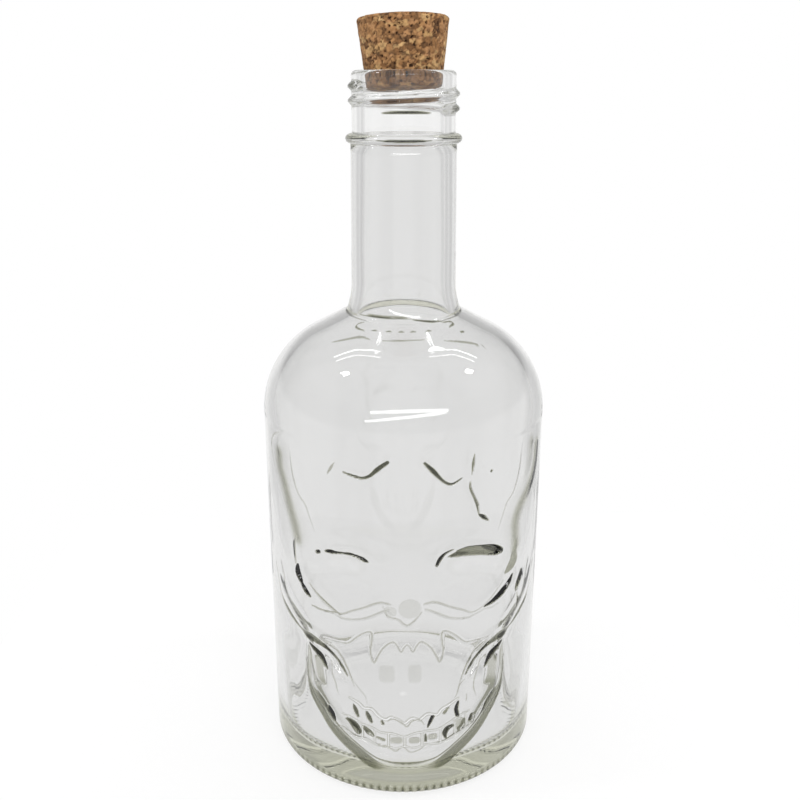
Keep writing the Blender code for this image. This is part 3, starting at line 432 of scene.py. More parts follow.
# White surroundings as the glass sees them: a dark flag at each corner and a dim ceiling
FLAG_STOPS = [(0.0, 0.9), (0.06, 0.8), (0.14, 0.8), (0.2, 1.0), (0.75, 1.0), (0.82, 0.75), (0.93, 0.75),
              (1.0, 0.9)]
CEILING_STOPS = [(0.0, 1.0), (0.51, 1.0), (0.54, 0.62), (0.70, 0.62), (0.78, 0.75), (1.0, 0.75)]
PLAIN_LIGHT = 0.7
FLOOR_HALF = 160.0 * MM
FLOOR_BELOW = 0.2 * MM
FLOOR_GLOW = 0.77
FLOOR_THROUGH_GLASS = 0.97
FLOOR_COLOUR = (0.25, 0.25, 0.25, 1.0)

# Lamps, in metres and watts: place, size, power and roll, then narrow strips from end to end
SOFTBOXES = {
    "front_high": ((0.06, -0.89, 0.62), (1.15, 0.07), 2.4, 0.0),
    "front_low": ((0.0, -0.93, 0.50), (1.2, 0.06), 2.0, math.radians(9.0)),
    "left": ((-0.60, -0.07, 0.96), (0.09, 0.09), 0.8, 0.0),
    "right": ((0.65, -0.01, 0.93), (0.09, 0.09), 0.8, 0.0)}
STRIPS = {
    "arc_left": ((-0.17, 0.302, 1.06), (-0.34, 0.40, 0.98)),
    "arc_far_left": ((-0.34, 0.40, 0.98), (-0.55, 0.33, 0.90)),
    "arc_right": ((0.20, 0.302, 1.05), (0.38, 0.40, 0.96)),
    "arc_far_right": ((0.38, 0.40, 0.96), (0.60, 0.31, 0.87)),
    "leg_left": ((-0.20, 0.35, 1.04), (-0.20, 0.37, 1.04)),
    "leg_right": ((0.235, 0.345, 1.04), (0.235, 0.365, 1.04))}
STRIP_WIDTH = 0.025
STRIP_POWER = 30.0
LIGHT_BOUNCES = 32

# Camera, fitted to the photograph
CAMERA_SIDEWAYS = -1.1 * MM
CAMERA_DISTANCE = 286.0 * MM
CAMERA_HEIGHT = 213.6 * MM
CAMERA_TURN = math.radians(-1.3)
CAMERA_TILT_DOWN = math.radians(18.64)
CAMERA_LENS = 42.42
CAMERA_SENSOR = 36.0


# Profiles, as lists of (radius, height)

def arc(centre, radius, start, end, count=ARC_POINTS):
    """Points on a circle from one angle to another, with angles measured up from +X."""
    angles = np.linspace(start, end, count)
    return [(centre[0] + radius * math.cos(a), centre[1] + radius * math.sin(a)) for a in angles]


def rows(start, end, step):
    """Points along a straight run, no further apart than the step, without its ends."""
    count = max(1, math.ceil(math.dist(start, end) / step))
    return [(start[0] + (end[0] - start[0]) * i / count, start[1] + (end[1] - start[1]) * i / count)
            for i in range(1, count)]


def dome(radius, edge_height, rise, count=ARC_POINTS):
    """A shallow dome, from the first point off the axis out to its edge."""
    return [(radius * i / count, edge_height + rise * (1.0 - (i / count) ** 2))
            for i in range(1, count + 1)]


def shoulder_root():
    """Height at which the neck begins to flare out towards the shoulder."""
    turned = (NECK_FLARE_RADIUS * (1.0 - math.cos(NECK_FLARE_TURN))
              + NECK_CORNER_RADIUS * (math.cos(NECK_FLARE_TURN) - math.cos(SHOULDER_TURN))
              + SHOULDER_RADIUS * (1.0 - math.cos(SHOULDER_TURN)))
    slope = (BODY_RADIUS - NECK_RADIUS - turned) / math.sin(SHOULDER_TURN)
    return (BODY_STRAIGHT_HEIGHT + SHOULDER_RADIUS * math.sin(SHOULDER_TURN)
            + slope * math.cos(SHOULDER_TURN)
            + NECK_CORNER_RADIUS * (math.sin(SHOULDER_TURN) - math.sin(NECK_FLARE_TURN))
            + NECK_FLARE_RADIUS * math.sin(NECK_FLARE_TURN))


NECK_ROOT_HEIGHT = shoulder_root()
FLARE_CENTRE = (NECK_RADIUS + NECK_FLARE_RADIUS, NECK_ROOT_HEIGHT)
CORNER_OFFSET = NECK_FLARE_RADIUS - NECK_CORNER_RADIUS
CORNER_CENTRE = (FLARE_CENTRE[0] - CORNER_OFFSET * math.cos(NECK_FLARE_TURN),
                 FLARE_CENTRE[1] - CORNER_OFFSET * math.sin(NECK_FLARE_TURN))
FINISH_BOTTOM = LIP_HEIGHT - FINISH_HEIGHT


def shoulder(inset):
    """The shoulder from the body up to the neck, moved into the glass by the inset."""
    bend = arc((BODY_RADIUS - SHOULDER_RADIUS, BODY_STRAIGHT_HEIGHT),
               SHOULDER_RADIUS - inset, 0.0, SHOULDER_TURN, 2 * ARC_POINTS)
    flare = arc(FLARE_CENTRE, NECK_FLARE_RADIUS + inset, math.pi + NECK_FLARE_TURN, math.pi)[1:]
    corner = arc(CORNER_CENTRE, NECK_CORNER_RADIUS + inset,
                 math.pi + SHOULDER_TURN, math.pi + NECK_FLARE_TURN)
    return bend + rows(bend[-1], corner[0], FINE_ROW) + corner + flare


def inside_profile():
    """The inside, from the middle of the floor up to the land of the lip."""
    radius = BODY_RADIUS - WALL
    flat = dome(radius - FLOOR_CORNER_RADIUS, FLOOR_EDGE_HEIGHT, FLOOR_DOME_RISE)
    corner = arc((radius - FLOOR_CORNER_RADIUS, FLOOR_EDGE_HEIGHT + FLOOR_CORNER_RADIUS),
                 FLOOR_CORNER_RADIUS, -math.pi / 2, 0.0)[1:]
    upper = shoulder(WALL)
    bore_bottom = (BORE_RADIUS, LIP_HEIGHT - BORE_LENGTH)
    taper_bottom = (NECK_RADIUS - WALL, LIP_HEIGHT - BORE_LENGTH - BORE_TAPER_LENGTH)
    mouth = arc((BORE_RADIUS + LIP_INNER_ROUND, LIP_HEIGHT - LIP_INNER_ROUND),
                LIP_INNER_ROUND, math.pi, math.pi / 2)
    return (flat + corner + rows(corner[-1], upper[0], INSIDE_ROW) + upper
            + rows(upper[-1], taper_bottom, FINE_ROW) + [taper_bottom]
            + rows(taper_bottom, bore_bottom, COARSE_ROW) + [bore_bottom]
            + rows(bore_bottom, mouth[0], COARSE_ROW) + mouth)


def outside_profile():
    """The outside, from the land of the lip down to the foot and in to the push-up."""
    lip = arc((FINISH_RADIUS - LIP_OUTER_ROUND, LIP_HEIGHT - LIP_OUTER_ROUND),
              LIP_OUTER_ROUND, math.pi / 2, 0.0)
    bead_middle = FINISH_BOTTOM + BEAD_THICKNESS / 2
    bead = [(FINISH_RADIUS + (BEAD_RADIUS - FINISH_RADIUS) * math.sin(a),
             bead_middle + BEAD_THICKNESS / 2 * math.cos(a))
            for a in np.linspace(0.0, math.pi, 2 * ARC_POINTS)]
    bead[-1] = (NECK_TOP_RADIUS, FINISH_BOTTOM)
    upper = shoulder(0.0)[::-1]
    heel_centre = (BODY_RADIUS - HEEL_RADIUS, HEEL_RADIUS)
    heel = arc(heel_centre, HEEL_RADIUS, 0.0, -math.pi / 2)
    foot_inside = BODY_RADIUS - HEEL_RADIUS - FOOT_RING_WIDTH
    push_up = dome(foot_inside, 0.0, PUSH_UP_RISE, 2 * ARC_POINTS)[::-1]
    return (lip + rows(lip[-1], bead[0], FINE_ROW) + bead
            + rows(bead[-1], upper[0], COARSE_ROW) + upper
            + rows(upper[-1], heel[0], FACE_ROW) + heel
            + rows(heel[-1], push_up[0], 2 * FINE_ROW) + push_up)


# Reliefs of the face, on the unrolled wall

def smooth_line(points, closed):
    """A curve in metres through points given in millimetres."""
    knots = np.array(points, float) * MM
    count = len(knots)
    made = []
    for i in range(count if closed else count - 1):
        before, here, there, after = [
            knots[j % count if closed else min(max(j, 0), count - 1)] for j in range(i - 1, i + 3)]
        for t in np.linspace(0.0, 1.0, CURVE_STEPS, endpoint=False):
            made.append(0.5 * (2 * here + (there - before) * t
                               + (2 * before - 5 * here + 4 * there - after) * t ** 2
                               + (3 * here - before - 3 * there + after) * t ** 3))
    if not closed:
        made.append(knots[-1])
    return np.array(made)


def whole(half):
    """Both halves of an outline that is the same left and right."""
    other = [(-across, up) for across, up in half[::-1] if across > 0]
    return half + other


def off_piece(x, y, start, end):
    """Where on a straight piece the nearest place to each point lies, 0 to 1, and how far off it is."""
    dx, dy = end[0] - start[0], end[1] - start[1]
    along = np.clip(((x - start[0]) * dx + (y - start[1]) * dy) / (dx * dx + dy * dy), 0.0, 1.0)
    return along, np.hypot(x - start[0] - along * dx, y - start[1] - along * dy)


def line_distance(across, up, line):
    """Distance of each point from a run of straight pieces."""
    nearest = np.full(across.shape, np.inf)
    for start, end in zip(line[:-1], line[1:]):
        nearest = np.minimum(nearest, off_piece(across, up, start, end)[1])
    return nearest


def inside_distance(across, up, outline):
    """Distance of each point from a closed outline, positive inside it."""
    ring = np.vstack([outline, outline[:1]])
    crossings = np.zeros(across.shape, int)
    for (ax, ay), (bx, by) in zip(ring[:-1], ring[1:]):
        if ay == by:
            continue
        spans = (ay > up) != (by > up)
        crossings += spans & (across < (bx - ax) * (up - ay) / (by - ay) + ax)
    return np.where(crossings % 2 == 1, 1.0, -1.0) * line_distance(across, up, ring)


def fade(distance, width):
    """Rises smoothly from 0 to 1 over the width."""
    t = np.clip(distance / width, 0.0, 1.0)
    return t * t * (3.0 - 2.0 * t)


def bell(distance, width):
    return np.exp(-(distance / width) ** 2)


def head_depth(across, up):
    """The head stands in a groove that runs round its jaw and cheek bones."""
    inside = inside_distance(across, up, smooth_line(whole(HEAD_HALF), True))
    groove = HEAD_LEVEL + (GROOVE_DEPTH - HEAD_LEVEL) * (
        1.0 - fade(np.abs(across) - GROOVE_SHALLOW_START, GROOVE_SHALLOW_WIDTH))
    edge = np.clip(inside / GROOVE_EDGE, 0.0, 1.0)
    within = HEAD_LEVEL + (groove - HEAD_LEVEL) * (1.0 - edge)
    return np.where(inside > 0, within, groove * bell(inside, GROOVE_SLOPE))


def broad_forms():
    """Depths of the large forms on a square grid of the unrolled wall."""
    columns = np.arange(-FACE_HALF_WIDTH, FACE_HALF_WIDTH + GRID_CELL, GRID_CELL)
    heights = np.arange(0.0, FACE_FADE_END + GRID_CELL, GRID_CELL)
    across, up = np.meshgrid(columns, heights)
    side = np.abs(across)
    socket = SOCKET_DEPTH * fade(inside_distance(side, up, smooth_line(SOCKET, True)), SOCKET_SLOPE)
    cheek = CHEEK_DEPTH * fade(inside_distance(side, up, smooth_line(CHEEK, True)), CHEEK_SLOPE)
    brow = BROW_RISE * bell(line_distance(side, up, smooth_line(BROW, False)), BROW_WIDTH)
    level = head_depth(across, up) + socket + cheek - brow
    return np.maximum(level, 0.0) * below_shoulder(up) * fade(up - HEEL_RADIUS, HEEL_FADE)


def below_shoulder(up):
    """1 on the face, falling to 0 where the shoulder begins."""
    return 1.0 - fade(up - FACE_FADE_START, FACE_FADE_END - FACE_FADE_START)


def stroke_reach(across, up, stroke):
    """How far inside a stroke, whose half width changes along its line, each point lies."""
    line = smooth_line(stroke, False)
    reach = line[:, 2].max()
    near = (across > line[:, 0].min() - reach) & (across < line[:, 0].max() + reach)
    near &= (up > line[:, 1].min() - reach) & (up < line[:, 1].max() + reach)
    x, y = across[near], up[near]
    inside = np.zeros_like(x)
    for start, end in zip(line[:-1], line[1:]):
        along, distance = off_piece(x, y, start, end)
        inside = np.maximum(inside, start[2] + (end[2] - start[2]) * along - distance)
    reached = np.zeros_like(across)
    reached[near] = inside
    return reached


def hollow_reach(across, up, hollows):
    """0 outside and 1 in the middle of dish-shaped hollows with a rounded square outline."""
    reached = np.zeros_like(across)
    for middle, height, half_width, half_height in hollows:
        off_middle = (((across / MM - middle) / half_width) ** 4
                      + ((up / MM - height) / half_height) ** 4) ** 0.5
        reached = np.maximum(reached, 1.0 - off_middle)
    return reached


def chin_depth(side, up):
    within = fade(CHIN_HALF_WIDTH - side, CHIN_FADE)
    curve = CHIN_CURVE * side ** 2
    lines = sum(bell(up - line - curve, CHIN_LINE_WIDTH) for line in CHIN_LINES)
    return CHIN_LINE_DEPTH * within * lines


def all_marks(across, up):
    """Each stroke's reach at the points, with its steepness and the darkness of its painted shade."""
    side = np.abs(across)
    for marks, place in ((MARKS_ON_BOTH_SIDES, side), (MARKS_ON_ONE_SIDE, across)):
        for steepness, darkness, stroke in marks.values():
            yield stroke_reach(place, up, stroke), steepness, darkness


def temple_reach(across, up):
    """1 along the soft valley of each temple, falling to 0 beside it."""
    valleys = [line_distance(across, up, smooth_line(line, False)) for line in TEMPLES]
    return bell(np.minimum(*valleys), TEMPLE_WIDTH)


def ridge_strokes():
    """The ridges round the teeth as strokes."""
    for half_width, end_half_width, points in RIDGES:
        widths = [end_half_width] + [half_width] * (len(points) - 2) + [end_half_width]
        yield [(*point, width) for point, width in zip(points, widths)]
    for across, top, low in TOOTH_SIDES:
        yield [(across, top, TOOTH_SIDE_HALF_WIDTH), (across, low, TOOTH_SIDE_HALF_WIDTH)]


def ridge_reach(across, up):
    """How far inside the ridges round the teeth each point lies."""
    return np.max([stroke_reach(across, up, ridge) for ridge in ridge_strokes()], axis=0)


def fine_depth(across, up):
    """The sharp forms, which only the outside has."""
    side = np.abs(across)
    depth = chin_depth(side, up) + TEMPLE_DEPTH * temple_reach(across, up)
    depth -= RIDGE_RISE * fade(ridge_reach(across, up) - RIDGE_RIM, RIDGE_RIM)
    depth += TOOTH_HOLLOW_DEPTH * hollow_reach(across, up, LOWER_TEETH)
    depth += NOSTRIL_DEPTH * hollow_reach(across, up, NOSTRILS)
    depth += BUBBLE_DEPTH * hollow_reach(across, up, SEED_BUBBLE)
    depth -= NOSE_TIP_RISE * bell(np.hypot(across - NOSE_TIP_ACROSS, up - NOSE_TIP_UP), NOSE_TIP_WIDTH)
    for reach, steepness, _ in all_marks(across, up):
        depth += np.minimum(steepness * reach, DEEPEST_STROKE)
    return depth


def jaw_shade(across, up):
    """The shade of the slope that runs down from the jaw into the groove round it."""
    side = np.abs(across)
    within = fade(inside_distance(side, up, smooth_line(JAW_BAND, True)), JAW_SHADE_EDGE)
    shade = JAW_SHADE_HIGH + (JAW_SHADE - JAW_SHADE_HIGH) * fade(JAW_SHADE_TURN - up, JAW_SHADE_FADE)
    beside_chin = CHIN_SHADE + (1.0 - CHIN_SHADE) * fade(side - JAW_SHADE_FADE, JAW_SHADE_FADE)
    return shade * within * beside_chin


def painted_shade_and_highlight(across, up):
    """How dark the glass is painted: painted shade in its creases, hollows, strokes and on the jaw's slope,
    a painted highlight on its ridges.
    """
    dark = PLAIN_DARKNESS + (TEMPLE_PAINTED_SHADE - PLAIN_DARKNESS) * temple_reach(across, up)
    # Painted shade in the hollows of the lower teeth and in the nostrils
    dark = np.maximum(dark, LOWER_TOOTH_PAINTED_SHADE * fade(hollow_reach(across, up, LOWER_TEETH), HOLLOW_EDGE))
    dark = np.maximum(dark, NOSTRIL_PAINTED_SHADE * fade(hollow_reach(across, up, NOSTRILS), NOSTRIL_EDGE))
    ridge = ridge_reach(across, up)
    # Painted shade on the rims of the ridges round the teeth
    dark = np.maximum(dark, RIDGE_RIM_PAINTED_SHADE * fade(ridge, RIDGE_RIM))
    dark = np.maximum(dark, jaw_shade(across, up))
    # A painted highlight keeps the ridges clear of the shade painted so far
    dark *= 1.0 - fade(ridge - RIDGE_RIM, RIDGE_RIM)
    # Painted shade in the seed bubble
    dark = np.maximum(dark, BUBBLE_PAINTED_SHADE * fade(hollow_reach(across, up, SEED_BUBBLE), HOLLOW_EDGE))
    # Painted shade in the strokes cut into the face
    for reach, _, darkness in all_marks(across, up):
        dark = np.maximum(dark, darkness * fade(reach, STROKE_EDGE))
    return dark


def neighbours(depths):
    """A grid of depths moved one cell each way, left, right, down and up."""
    padded = np.pad(depths, 1, mode="edge")
    return padded[1:-1, :-2], padded[1:-1, 2:], padded[:-2, 1:-1], padded[2:, 1:-1]


def soften(depths, steps):
    for _ in range(steps):
        depths = (4 * depths + sum(neighbours(depths))) / 8
    return depths


def spread(depths, steps):
    """Lets the deep places of a grid grow wider."""
    for _ in range(steps):
        depths = np.maximum(depths, np.max(neighbours(depths), axis=0))
    return depths


def spline_shares(t):
    """Shares of four cells in a row, at a place t of the way between the middle two."""
    return ((1 - t) ** 3 / 6, (3 * t ** 3 - 6 * t ** 2 + 4) / 6,
            (3 * t ** 2 + 3 * t - 3 * t ** 3 + 1) / 6, t ** 3 / 6)


def read_grid(depths, across, up):
    """A grid of the unrolled wall read smoothly between its cells."""
    column, row = (across + FACE_HALF_WIDTH) / GRID_CELL, up / GRID_CELL
    left, low = np.floor(column).astype(int), np.floor(row).astype(int)
    total = np.zeros_like(across)
    for i, row_share in enumerate(spline_shares(row - low)):
        rows_here = np.clip(low + i - 1, 0, depths.shape[0] - 1)
        for j, column_share in enumerate(spline_shares(column - left)):
            columns_here = np.clip(left + j - 1, 0, depths.shape[1] - 1)
            total += row_share * column_share * depths[rows_here, columns_here]
    return total


BROAD_FORMS = broad_forms()
OUTSIDE_FORMS = soften(BROAD_FORMS, OUTSIDE_SOFTEN_STEPS)
INSIDE_FORMS = INSIDE_SHARE * soften(spread(BROAD_FORMS, SPREAD_STEPS), INSIDE_SOFTEN_STEPS)


def side_fade(across):
    """1 over the face, falling to 0 at its two sides."""
    return fade(FACE_HALF_WIDTH - np.abs(across), SIDE_FADE_WIDTH)


def run(start, end, widest):
    """Evenly spaced angles between two arc lengths, an even number of them, without the last."""
    count = 2 * math.ceil((end - start) / widest / 2)
    return np.linspace(start, end, count, endpoint=False) / BODY_RADIUS


def column_angles():
    """Angles of the columns from the middle of the face: close over the face, wide behind it."""
    half_turn = math.pi * BODY_RADIUS
    return np.concatenate([
        run(-FACE_HALF_WIDTH, -MIDDLE_HALF_WIDTH, SIDE_COLUMN),
        run(-MIDDLE_HALF_WIDTH, MIDDLE_HALF_WIDTH, MIDDLE_COLUMN),
        run(MIDDLE_HALF_WIDTH, FACE_HALF_WIDTH, SIDE_COLUMN),
        run(FACE_HALF_WIDTH, 2 * half_turn - FACE_HALF_WIDTH, BACK_COLUMN)])


OUTSIDE_ANGLES = column_angles()
INSIDE_ANGLES = OUTSIDE_ANGLES[::2]


def across_face(angle):
    """Arc length on the plain wall from the middle of the face, negative to the left."""
    return BODY_RADIUS * ((angle + math.pi) % (2 * math.pi) - math.pi)


def thread_rise(angle, z):
    """Height of the one-start thread above the wall of the finish."""
    turns_up = (z - (LIP_HEIGHT - THREAD_END_BELOW_LIP)) / THREAD_PITCH + THREAD_TURNS
    turn_here = ((angle - math.pi / 2 - THREAD_START_ANGLE) / (2 * math.pi)) % 1.0
    nearest = np.round(turns_up - turn_here) + turn_here
    off_ridge = np.abs(turns_up - nearest) * THREAD_PITCH
    shape = np.cos(np.clip(off_ridge / THREAD_WIDTH, 0.0, 0.5) * math.pi)
    ends = fade(nearest, THREAD_RUN_OUT_TURNS) * fade(THREAD_TURNS - nearest, THREAD_RUN_OUT_TURNS)
    return (THREAD_RADIUS - FINISH_RADIUS) * shape * ends


def knurl(angle):
    """0 on the bars of the foot, rising to 1 between them."""
    return (0.5 - 0.5 * np.cos(KNURL_BARS * angle)) ** 2


def knurl_rise(angle, radius):
    """Short bars across the foot ring, cut up into it so that their tops bear on the table."""
    ring = fade(radius - KNURL_LOW_RADIUS, KNURL_EDGE) * fade(KNURL_HIGH_RADIUS - radius, KNURL_EDGE)
    return KNURL_DEPTH * knurl(angle) * ring


# The ring sits in the corner inside the neck's root and stands out along this direction
ROOT_RING_TURN = (NECK_FLARE_TURN + SHOULDER_TURN) / 2
ROOT_RING_CENTRE = (CORNER_CENTRE[0] - (NECK_CORNER_RADIUS + WALL) * math.cos(ROOT_RING_TURN),
                    CORNER_CENTRE[1] - (NECK_CORNER_RADIUS + WALL) * math.sin(ROOT_RING_TURN))


def root_ring_rise(angle, radius, z):
    """A gently wavy ring of glass inside the root of the neck."""
    wave = 1.0 + ROOT_RING_WAVINESS * np.cos(ROOT_RING_WAVES * angle)
    away = np.hypot(radius - ROOT_RING_CENTRE[0], z - ROOT_RING_CENTRE[1])
    return ROOT_RING_RISE * wave * bell(away, ROOT_RING_WIDTH)


def turned_grid(profile, angle):
    """Radius, angle and height of a surface turned from a profile, as rows by columns."""
    radius, height = np.array(profile).T
    shape = (len(profile), len(angle))
    return (np.broadcast_to(radius[:, None], shape).copy(), np.broadcast_to(angle, shape),
            np.broadcast_to(height[:, None], shape).copy())


def outside_points():
    """The outside of the bottle with its face, thread and knurled foot, and its painted shade and highlight.
    """
    radius, angle, z = turned_grid(outside_profile(), OUTSIDE_ANGLES)
    across = across_face(angle)
    on_face = (z > HEEL_RADIUS) & (z < BODY_STRAIGHT_HEIGHT) & (radius > BODY_RADIUS - WALL)
    on_face &= np.abs(across) < FACE_HALF_WIDTH
    across, up = across[on_face], z[on_face]
    depth = (read_grid(OUTSIDE_FORMS, across, up) + fine_depth(across, up)) * side_fade(across)
    radius[on_face] -= np.maximum(depth, 0.0)
    # Painted shade and highlight at each point: light grey over the plain glass, the face's painted marks,
    # the finish painted lighter
    dark = np.full_like(radius, PLAIN_DARKNESS)
    dark[on_face] = painted_shade_and_highlight(across, up)
    dark[z > FINISH_BOTTOM] = FINISH_DARKNESS
    # Thin lines of painted shade above the face, and the painted image of the cork on the finish
    above_face = (z > BODY_STRAIGHT_HEIGHT) & (np.cos(angle) > 0)
    across, up = across_face(angle)[above_face], z[above_face]
    for darkness, line in THIN_LINES.values():
        thin = darkness * fade(stroke_reach(across, up, line), THIN_LINE_EDGE)
        dark[above_face] = np.maximum(dark[above_face], thin)
    finish = (z > FINISH_BOTTOM + BEAD_THICKNESS) & (radius > FINISH_RADIUS - TOLERANCE)
    radius[finish] += thread_rise(angle[finish], z[finish])
    foot = z < HEEL_RADIUS
    rise = knurl_rise(angle[foot], radius[foot])
    z[foot] += rise
    # Painted shade between the knurl's bars and up the heel, on the side that faces the front
    in_front = np.clip(np.cos(angle[foot]), 0.0, 1.0)
    dark[foot] += KNURL_PAINTED_SHADE * rise / KNURL_DEPTH * in_front
    heel = (z < HEEL_BAR_HEIGHT) & (radius > BODY_RADIUS - HEEL_RADIUS)
    facing = fade(np.cos(angle[heel]), FRONT_SHARE)
    near_foot = fade(HEEL_BAR_HEIGHT - z[heel], HEEL_BAR_HEIGHT / 2)
    dark[heel] += HEEL_BAR_PAINTED_SHADE * (knurl(angle[heel]) * near_foot) * facing
    return points_of(radius, angle, z), dark


def inside_points():
    """The inside of the bottle, which follows the face softly."""
    radius, angle, z = turned_grid(inside_profile(), INSIDE_ANGLES)
    across = across_face(angle)
    beside_face = (z > FLOOR_EDGE_HEIGHT) & (z < FACE_FADE_END) & (np.abs(across) < FACE_HALF_WIDTH)
    beside_face &= radius > BODY_RADIUS - WALL - FLOOR_CORNER_RADIUS / 2
    across, up = across[beside_face], z[beside_face]
    clear_of_floor = fade(up - FLOOR_EDGE_HEIGHT, 2 * FLOOR_CORNER_RADIUS)
    radius[beside_face] -= read_grid(INSIDE_FORMS, across, up) * clear_of_floor * side_fade(across)
    ring = root_ring_rise(angle, radius, z)
    radius -= ring * math.cos(ROOT_RING_TURN)
    z -= ring * math.sin(ROOT_RING_TURN)
    return points_of(radius, angle, z)


def points_of(radius, angle, z):
    """Rows of points, with the angle measured from the middle of the face to +X."""
    return np.stack([radius * np.sin(angle), -radius * np.cos(angle), z], axis=-1)


def grid_faces(row_count, columns, first):
    """Quads between the rows of a turned grid whose points start at a number."""
    row, column = np.meshgrid(np.arange(row_count - 1), np.arange(columns), indexing="ij")
    here = first + row * columns + column
    beside = first + row * columns + (column + 1) % columns
    return np.stack([here, beside, beside + columns, here + columns], axis=-1).reshape(-1, 4)


def fan_faces(ring_start, columns, centre):
    """Triangles from a ring of points to the point on the axis."""
    column = np.arange(columns)
    return np.stack([ring_start + column, ring_start + (column + 1) % columns,
                     np.full(columns, centre)], axis=-1)


def stitch_faces(fine_start, coarse_start, coarse_columns):
    """Triangles between a ring and one with half as many points."""
    made = []
    for i in range(coarse_columns):
        here, there = coarse_start + i, coarse_start + (i + 1) % coarse_columns
        left = fine_start + 2 * i
        middle = fine_start + 2 * i + 1
        right = fine_start + (2 * i + 2) % (2 * coarse_columns)
        made += [(left, middle, here), (middle, there, here), (middle, right, there)]
    return made


def add_object(name, data):
    """A new object in the scene."""
    made = bpy.data.objects.new(name, data)
    bpy.context.scene.collection.objects.link(made)
    return made


def add_piece(name, points, faces, material, values):
    """A smooth piece, with values kept at each point of its mesh for its material."""
    mesh = bpy.data.meshes.new(name)
    mesh.from_pydata(points, [], faces)
    mesh.shade_smooth()
    mesh.materials.append(material)
    for value_name, numbers in values.items():
        mesh.attributes.new(value_name, "FLOAT", "POINT").data.foreach_set("value", numbers)
    return add_object(name, mesh)


def glass_bottle(material):
    """One closed solid: the outside, the inside, and the seam between them on the lip."""
    outside, dark = outside_points()
    inside = inside_points()
    columns, inside_columns = len(OUTSIDE_ANGLES), len(INSIDE_ANGLES)
    outside_count = outside.shape[0] * columns
    total = outside_count + inside.shape[0] * inside_columns
    foot_centre = (0.0, 0.0, PUSH_UP_RISE)
    floor_centre = (0.0, 0.0, FLOOR_EDGE_HEIGHT + FLOOR_DOME_RISE)
    points = outside.reshape(-1, 3).tolist() + inside.reshape(-1, 3).tolist()
    points += [foot_centre, floor_centre]
    faces = grid_faces(outside.shape[0], columns, 0)[:, ::-1].tolist()
    faces += grid_faces(inside.shape[0], inside_columns, outside_count)[:, ::-1].tolist()
    faces += fan_faces(outside_count - columns, columns, total)[:, ::-1].tolist()
    faces += fan_faces(outside_count, inside_columns, total + 1).tolist()
    faces += stitch_faces(0, total - inside_columns, inside_columns)
    # The inside gets no painted shade, no painted highlight and no tint
    clear = np.zeros(len(points) - outside_count)
    on_heel = np.hypot(outside[..., 0], outside[..., 1]) > BODY_RADIUS - HEEL_RADIUS
    facing = fade(-outside[..., 1] / BODY_RADIUS, FRONT_SHARE)
    tinted = on_heel * facing * fade(FOOT_TINT_HEIGHT - outside[..., 2], FOOT_TINT_HEIGHT / 3)
    return add_piece("clear_bottle", points, faces, material,
                     {"painted_light": np.concatenate([dark.ravel(), clear]),
                      "foot": np.concatenate([tinted.ravel(), clear])})


# Cork, as a turned skin pressed in where its grains part

def cork_profile():
    """Points down the cork's outside about the middle of the mouth, no further apart than a cell."""
    mouth_radius = BORE_RADIUS - CORK_MOUTH_GAP
    top = CORK_LENGTH - CORK_INSERTION - CORK_CROWN
    slope = math.tan(CORK_TAPER)
    top_corner = mouth_radius + top * slope - CORK_EDGE_ROUND
    bottom_corner = mouth_radius - CORK_INSERTION * slope - CORK_EDGE_ROUND
    crown = dome(top_corner, top, CORK_CROWN, math.ceil(top_corner / CORK_CELL))[:-1]
    upper = arc((top_corner, top - CORK_EDGE_ROUND), CORK_EDGE_ROUND, math.pi / 2, 0.0,
                CORK_ROUND_POINTS)
    lower = arc((bottom_corner, CORK_EDGE_ROUND - CORK_INSERTION), CORK_EDGE_ROUND,
                0.0, -math.pi / 2, CORK_ROUND_POINTS)
    bottom = rows(lower[-1], (0.0, -CORK_INSERTION), 2 * CORK_CELL)
    return crown + upper + rows(upper[-1], lower[0], CORK_CELL) + lower + bottom


def cork_grain(point):
    """How far the skin is pressed in at a point, and the shade of the grain there, 0 to 1."""
    stretched = Vector((point.x, point.y, point.z * GRAIN_FLATNESS)) / CORK_GRAIN
    wandered = stretched + GRAIN_WANDER * noise.noise_vector(stretched * GRAIN_WANDER_FINENESS)
    distances, centres = noise.voronoi(wandered)
    shade = 0.5 + 0.5 * noise.cell(centres[0] * SHADE_SPREAD + Vector(SHADE_PLACE))
    parting = 1.0 - min(1.0, (distances[1] - distances[0]) / PARTING_WIDTH)
    opening = OPENING_CONTRAST * noise.noise(point / (OPENING_SIZE * CORK_GRAIN)) + OPENING_SHARE
    open_here = min(1.0, max(0.0, opening))
    pit = min(1.0, max(0.0, (noise.noise(point / (PIT_SIZE * CORK_GRAIN)) - PIT_START) / PIT_SLOPE))
    depth = CORK_GRAIN_STEP * (1.0 - shade) + CORK_CREVICE * parting * open_here + CORK_PIT * pit
    darkness = max(parting * open_here, pit)
    return depth, shade, darkness


